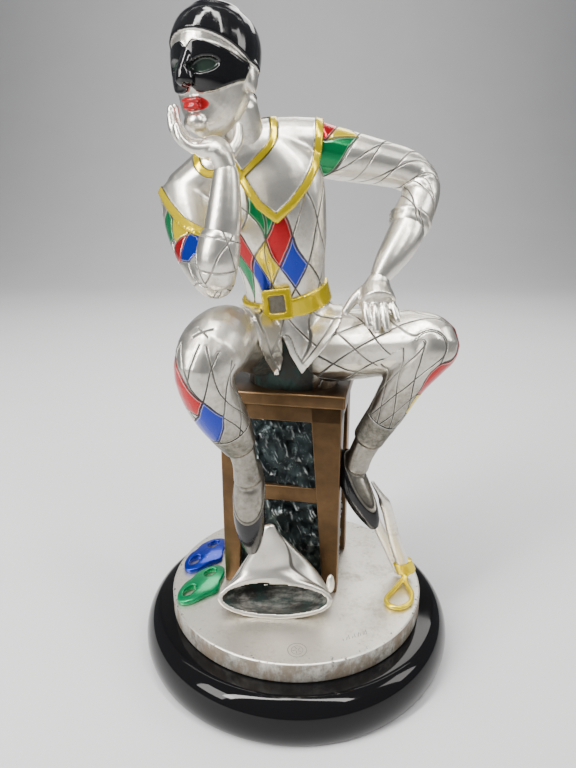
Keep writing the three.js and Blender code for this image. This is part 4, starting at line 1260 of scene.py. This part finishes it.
collar = shoulders(COLLAR_RISE)
cut(collar, prism(raised(COLLAR), -60, 40))
collar = fused([collar], 0.45, 2)
places, normals = points_of(collar)
border = BORDER_WIDTH - from_outline(places, COLLAR[:-1])
above_seat = places - (0, 0, SEAT)
aside = (above_seat @ NECK_ASIDE - NECK_MIDDLE[0]) / NECK_WIDE
through = above_seat @ NECK_THROUGH - NECK_MIDDLE[1]
deep = np.where(through > 0, NECK_BACK, NECK_DEEP)
through /= deep
ring = (aside ** 4 + through ** 4) ** 0.25
slope = np.outer(aside ** 3 / NECK_WIDE, NECK_ASIDE) + np.outer(through ** 3 / deep, NECK_THROUGH)
slope /= np.maximum(ring, 0.3)[:, None] ** 3
slope -= normals * (slope * normals).sum(axis=1)[:, None]
band = NECK_BAND - abs(ring - 1) / np.maximum(np.linalg.norm(slope, axis=1), 0.012)
facing = normals @ np.array((-0.1, -0.4, 0.91))
border = np.maximum(border, np.where(facing > 0.05, band, -9))
press(collar, BORDER_RISE * step_up(border, 0.7))
hollows(collar)
note(collar, "border", border)
keep(collar, "collar", enamelled("collar_enamel", ENAMELS["yellow"], 0.5, "border"), "silver", "figure")
yellow_enamel = enamelled("yellow_enamel", ENAMELS["yellow"])


# The skirt of the tunic: it flares over the thighs in pointed panels with a plain hem band. The belt
# above it is enamelled yellow, and its square buckle has a silver middle.
LEFT_PANEL = [
    [-24, 47], [-20.5, 38], [-18.8, 30], [-17.5, 22.9], [-13.3, 9.5], [-10.4, 9.8], [-8.2, 20], [-8.6, 29],
    [-10.4, 39],
]
RIGHT_PANEL = [[-9.6, 39], [-7.2, 30.1], [-4.6, 23.1], [2.5, 10.8], [6.2, 15.8], [22.3, 40.4], [30, 58]]
SKIRT_FRONT = [[-36, 46], *LEFT_PANEL, *RIGHT_PANEL]
OVER_THIGH = [[-32, 62], [-30, 56], *LEFT_PANEL, [-10.4, 62]]
SKIRT_BACK = [[-36, 46], [-36, 26], [-23, 8], [-11, 22], [0, 6], [11, 22], [23, 8], [34, 26], [34, 60]]
SKIRT_RISE = 1.6
HEM_BAND = 3.7
RIGHT_THIGH = [
    [-16, 10, 22, 22, 22], [-28.5, -18, 30.5, 17, 19], [-36.5, -44, 39, 17, 18.6], [-40.5, -65, 38.5, 15],
]
LEFT_THIGH = [[9, 10, 23, 25.6], [31, -7, 27, 22.2], [51, -20, 31, 16.4]]
BELT = [[-5, 6.2, 46.2, 25.8, 20], [-7.6, 4.8, 56.6, 25.6, 19.8]]
BELT_SIDE = Vector((0.95, 0.2, 0.30))
BUCKLE_WIDTH = 16.2
BUCKLE_HEIGHT = 16.6
BUCKLE_THICKNESS = 3.4
BUCKLE_PLACE = (-11.2, -16.4, 51.2 + SEAT)
BUCKLE_TILT = (-6, -8, -12)
skirt_forms = []
for outline, near, far in ((SKIRT_FRONT, -44, 9), (SKIRT_BACK, 8, 60), (OVER_THIGH, -42, 9)):
    forms = [limb(RIGHT_THIGH, sides=24)]
    if outline != OVER_THIGH:
        forms += [limb(TORSO[:5], SPINE_SIDE, sides=28, grow=SKIRT_RISE), limb(LEFT_THIGH, SIDE_Y, sides=24)]
    hips = fused(forms, 0.8, 8)
    cut(hips, prism(raised(outline), near, far), solver="EXACT")
    skirt_forms.append(hips)
skirt = fused(skirt_forms, 0.5, 2)
places, _ = points_of(skirt)
front = np.minimum(from_outline(places, OVER_THIGH[1:7]), from_outline(places, RIGHT_PANEL[1:-1]))
behind = from_outline(places, SKIRT_BACK[1:-1])
edge_gap = np.where(places[:, 1] < 8.5, front, behind)
hem = abs(edge_gap - HEM_BAND)
reach, turn = round_limb(places, TORSO, SPINE_SIDE)
counts = weave(turn, reach, TUNIC_FIRST, TUNIC_SECOND, TUNIC_PINS)
unwrap(skirt, turn, counts, (11, 11))
press(skirt, engrave(counts, TUNIC_STEPS, 0.35) * (edge_gap > HEM_BAND) - 0.35 * np.exp(-(hem / 0.5) ** 2))
note(skirt, "hem", hem)
note(skirt, "plain", edge_gap < HEM_BAND)
hollows(skirt)
keep(skirt, "tunic_skirt", clothed("skirt_cloth", {}, TUNIC_STEPS), "silver", "figure")

belt = fused([limb(BELT, BELT_SIDE, sides=40, dome=0)], 0.5, 2)
hollows(belt)
keep(belt, "belt", yellow_enamel, "silver", "figure")

buckle = block(BUCKLE_WIDTH, BUCKLE_THICKNESS, BUCKLE_HEIGHT, 0, 0, 0, 0.5)
cut(buckle, block(BUCKLE_WIDTH - 7.0, 8, BUCKLE_HEIGHT - 7.2, 0, 0, 0, 0), "DIFFERENCE")
middle = block(BUCKLE_WIDTH - 5.2, 1.6, BUCKLE_HEIGHT - 5.4, 0, 0.6, 0, 0.3)
for piece in (buckle, middle):
    piece.rotation_euler = [math.radians(angle) for angle in BUCKLE_TILT]
    piece.location = [part * MM for part in BUCKLE_PLACE]
    settle(piece)
buckle = fused([buckle], 0.4, 1)
hollows(buckle)
keep(buckle, "buckle", yellow_enamel, "silver", "figure")
middle = fused([middle], 0.4, 1)
hollows(middle)
# The buckle's middle is painted dark grey, painted shade in the buckle's hole.
note(middle, "dull", np.full(len(middle.data.vertices), 0.7))
keep(middle, "buckle_middle", silver_smooth, "silver", "figure")


# The hat: a soft peaked hat that lies on its side on the plate, with its mouth to the viewer and its
# peak against the stool. It is hollow at the mouth, where the silver inside is painted dark as shade, and
# has a knob at one end.
HAT_LENGTH = 73.0
HAT_HEIGHT = 57.0
HAT_WALL = 2.6
HAT_X = -13.0
HAT_Y = -38.0
HAT_TILT = 0.2
BRIM = 3.2
HAT_RINGS = [
    [-0.005, -0.04, 0.2, 0.465, 0.2, 76], [-0.005, 0.045, 0.215, 0.44, 0.22, 106],
    [-0.01, 0.13, 0.33, 0.36, 0.22, 124], [-0.025, 0.145, 0.53, 0.25, 0.165, 136],
    [-0.04, 0.135, 0.71, 0.15, 0.1, 150], [-0.05, 0.125, 0.86, 0.075, 0.06, 165],
    [-0.05, 0.12, 0.96, 0.034, 0.034, 180],
]


def hat_rings(rows, grow=0.0):
    """Rings of the hat with their centres in millimetres, each square to its own lean."""
    aside = np.array((-1, 0, -HAT_TILT)) / math.hypot(1, HAT_TILT)
    found = []
    for x, y, z, wide, deep, lean in rows:
        over = np.array((0, math.cos(math.radians(lean)), math.sin(math.radians(lean))))
        over -= aside * aside.dot(over)
        over /= np.linalg.norm(over)
        centre = np.array((HAT_X + x * HAT_LENGTH, HAT_Y + y * HAT_LENGTH, PLATE_TOP + z * HAT_HEIGHT))
        found.append((centre, np.cross(aside, over), aside, over,
                      wide * HAT_LENGTH + grow, deep * HAT_HEIGHT + grow))
    return found


hat_rows = in_between(HAT_RINGS, 4)
hat = loft(hat_rings(hat_rows), 48)
inner = hat_rings(hat_rows[:13], -HAT_WALL)
inner.insert(0, (inner[0][0] - 3 * inner[0][1], *inner[0][1:]))
cut(hat, loft(inner, 48), "DIFFERENCE", "EXACT")
knob = ball(HAT_X + 0.445 * HAT_LENGTH, HAT_Y - 0.035 * HAT_LENGTH, PLATE_TOP + 0.4 * HAT_HEIGHT,
            0.032 * HAT_LENGTH, 0.032 * HAT_LENGTH, 0.085 * HAT_LENGTH)
hat = fused([hat, knob], 0.5, 7)
open_mesh(hat)
bpy.ops.mesh.select_all(action="SELECT")
bpy.ops.mesh.bisect(plane_co=(0, 0, (PLATE_TOP + 0.05) * MM), plane_no=(0, 0, 1), clear_inner=True,
                    use_fill=True)
bare()
places, normals = points_of(hat)
centres, alongs = (np.array(part) for part in list(zip(*hat_rings(hat_rows)))[:2])
gaps = ((places[:, None, :] - centres[None, :, :]) ** 2).sum(axis=2)
mouth = (places - centres[0]) @ alongs[0]
nearest = centres[gaps.argmin(axis=1)]
inside = (((nearest - places) * normals).sum(axis=1) > 0) & (mouth > 0.4)
note(hat, "hem", np.where(inside, FAR, abs(mouth - BRIM)))
note(hat, "inside", inside)
bead = 0.5 * np.exp(-((mouth - BRIM / 4) / 1.0) ** 2) - 0.4 * np.exp(-((mouth - BRIM) / 0.6) ** 2)
press(hat, np.where(inside, 0, bead))
hollows(hat)
material, bench = finish_of("hat_silver")
streak = bench.cloud(220, 4.0, 0.6, stretch=(0.25, 1.0, 1.4))
# Painted shade: the inside of the hat's mouth is painted dark.
painted_shade_inside = bench.held("inside") * (0.35 + streak * 0.7)
colour, roughness, metal, height, cloud, mottle = silver_layer(bench, bench.held("hollow").most(painted_shade_inside), 0.5)
line = 1.0 - bench.held("hem").rise(0.2, 0.55)
colour = (line * 0.85).over(colour, (0.03, 0.028, 0.025))
lay(bench, colour, roughness + 0.06 + line * 0.2, metal, height, 0.12 * MM)
keep(hat, "hat_shell", material, "silver", "hat")


# The two eye masks: low domes that lie flat on the plate, enamelled blue and green, each with a nose
# lobe and two almond eye holes through which the silver shows.
MASK_LENGTH = 43.0
MASK_WIDTH = 19.0
MASK_RISE = 4.4


def mask_edge(length, width, grow=0.0):
    """The outline of a mask, seen from above."""
    points = []
    for angle in np.radians(np.arange(0, 360, 5)):
        brow = -0.16 * math.exp(-(math.cos(angle) / 0.22) ** 2) if math.sin(angle) > 0 else 0
        nose = 0.34 * math.exp(-(math.cos(angle) / 0.26) ** 2) if math.sin(angle) < 0 else 0
        points.append(((length / 2 + grow) * math.cos(angle),
                       (width / 2 + grow) * math.sin(angle) * (1 + brow + nose)))
    return points


def eye_mask(name, x, y, degrees, colour):
    mask = ball(0, 0, 0, MASK_LENGTH * 0.62, MASK_WIDTH * 0.80, MASK_RISE)
    sheet = prism(mask_edge(MASK_LENGTH, MASK_WIDTH), -20, 0)
    sheet.rotation_euler = (math.radians(-90), 0, 0)
    settle(sheet)
    cut(mask, sheet)
    for sign in (-1, 1):
        hole = ball(sign * MASK_LENGTH * 0.25, MASK_WIDTH * 0.06, 2,
                    MASK_LENGTH * 0.13, MASK_WIDTH * 0.16, 30)
        cut(mask, hole, "DIFFERENCE")
    mask = fused([mask], 0.35, 5)
    mask.rotation_euler = (0, 0, math.radians(degrees))
    mask.location = (x * MM, y * MM, (PLATE_TOP + 0.25) * MM)
    settle(mask)
    hollows(mask)
    slot = name.replace("mask", "enamel")
    keep(mask, "eye_" + name, enamelled(name + "_enamel", colour, 0.3), slot, name)


eye_mask("mask_blue", -62.0, 20.5, 62, ENAMELS["blue"])
eye_mask("mask_green", -60.5, -12.5, 60, (0.0, 0.34, 0.12))


# The slapstick: two thin slats bound together at the foot, leaning up to the sole of the left shoe.
# The binding and the spare cord, which lies in a loop on the plate, are enamelled yellow.
SLAT_WIDTH = 8.5
SLAT_THICKNESS = 2.4
CORD_DIAMETER = 3.2
SLAT_FOOT = (73.0, -3.5, 41.8)
FRONT_SLAT = [
    [0, 0, 0, 0.8, 1.3], [-3, -2, 8, 1, 1.3], [-11, -6.5, 30, 0.95, 1.2], [-17.5, -10.5, 53, 0.85, 1.2],
    [-20, -11.5, 60, 0.85, 1.5], [-22.5, -12, 65, 0.5, 1.3], [-28, -12, 74, 0.25, 0.9],
]
BACK_SLAT = [
    [-5, 2.5, 1, 0.85, 1.2], [-13, -1, 20, 0.85, 1.1], [-22, -4.5, 40, 0.8, 1], [-25, -5.5, 48, 0.6, 1],
]
BINDING = [[-1.6, -1, 4.5, 1.55, 3], [-4.6, -1.5, 12, 1.5, 3]]
CORD_LOOP = [
    [-3, -2, 7], [-4, -5, 1.5], [-11, -14, 0], [-17.5, -23, 0], [-17, -29.5, 0], [-11, -32, 0],
    [-4, -27.5, 0], [-1, -19, 0], [-2.5, -10, 0.6], [-2.5, -5, 2.2], [-2.5, -2, 7],
]


def slat(stations):
    wide, deep = SLAT_WIDTH / 2, SLAT_THICKNESS / 2
    sized = [[x, y, z, across * wide, through * deep] for x, y, z, across, through in stations]
    return limb(sized, Vector((0.9, 0.3, 0.3)), sides=24, dome=0.5, origin=SLAT_FOOT)


slats = fused([slat(FRONT_SLAT), slat(BACK_SLAT)], 0.4, 4)
hollows(slats)
keep(slats, "slapstick_slats", silver_smooth, "silver", "slapstick")
cord = limb([[*point, CORD_DIAMETER / 2] for point in CORD_LOOP], sides=16, steps=5, origin=SLAT_FOOT)
cord = fused([cord, slat(BINDING)], 0.4, 4)
hollows(cord)
keep(cord, "slapstick_cord", yellow_enamel, "silver", "slapstick")
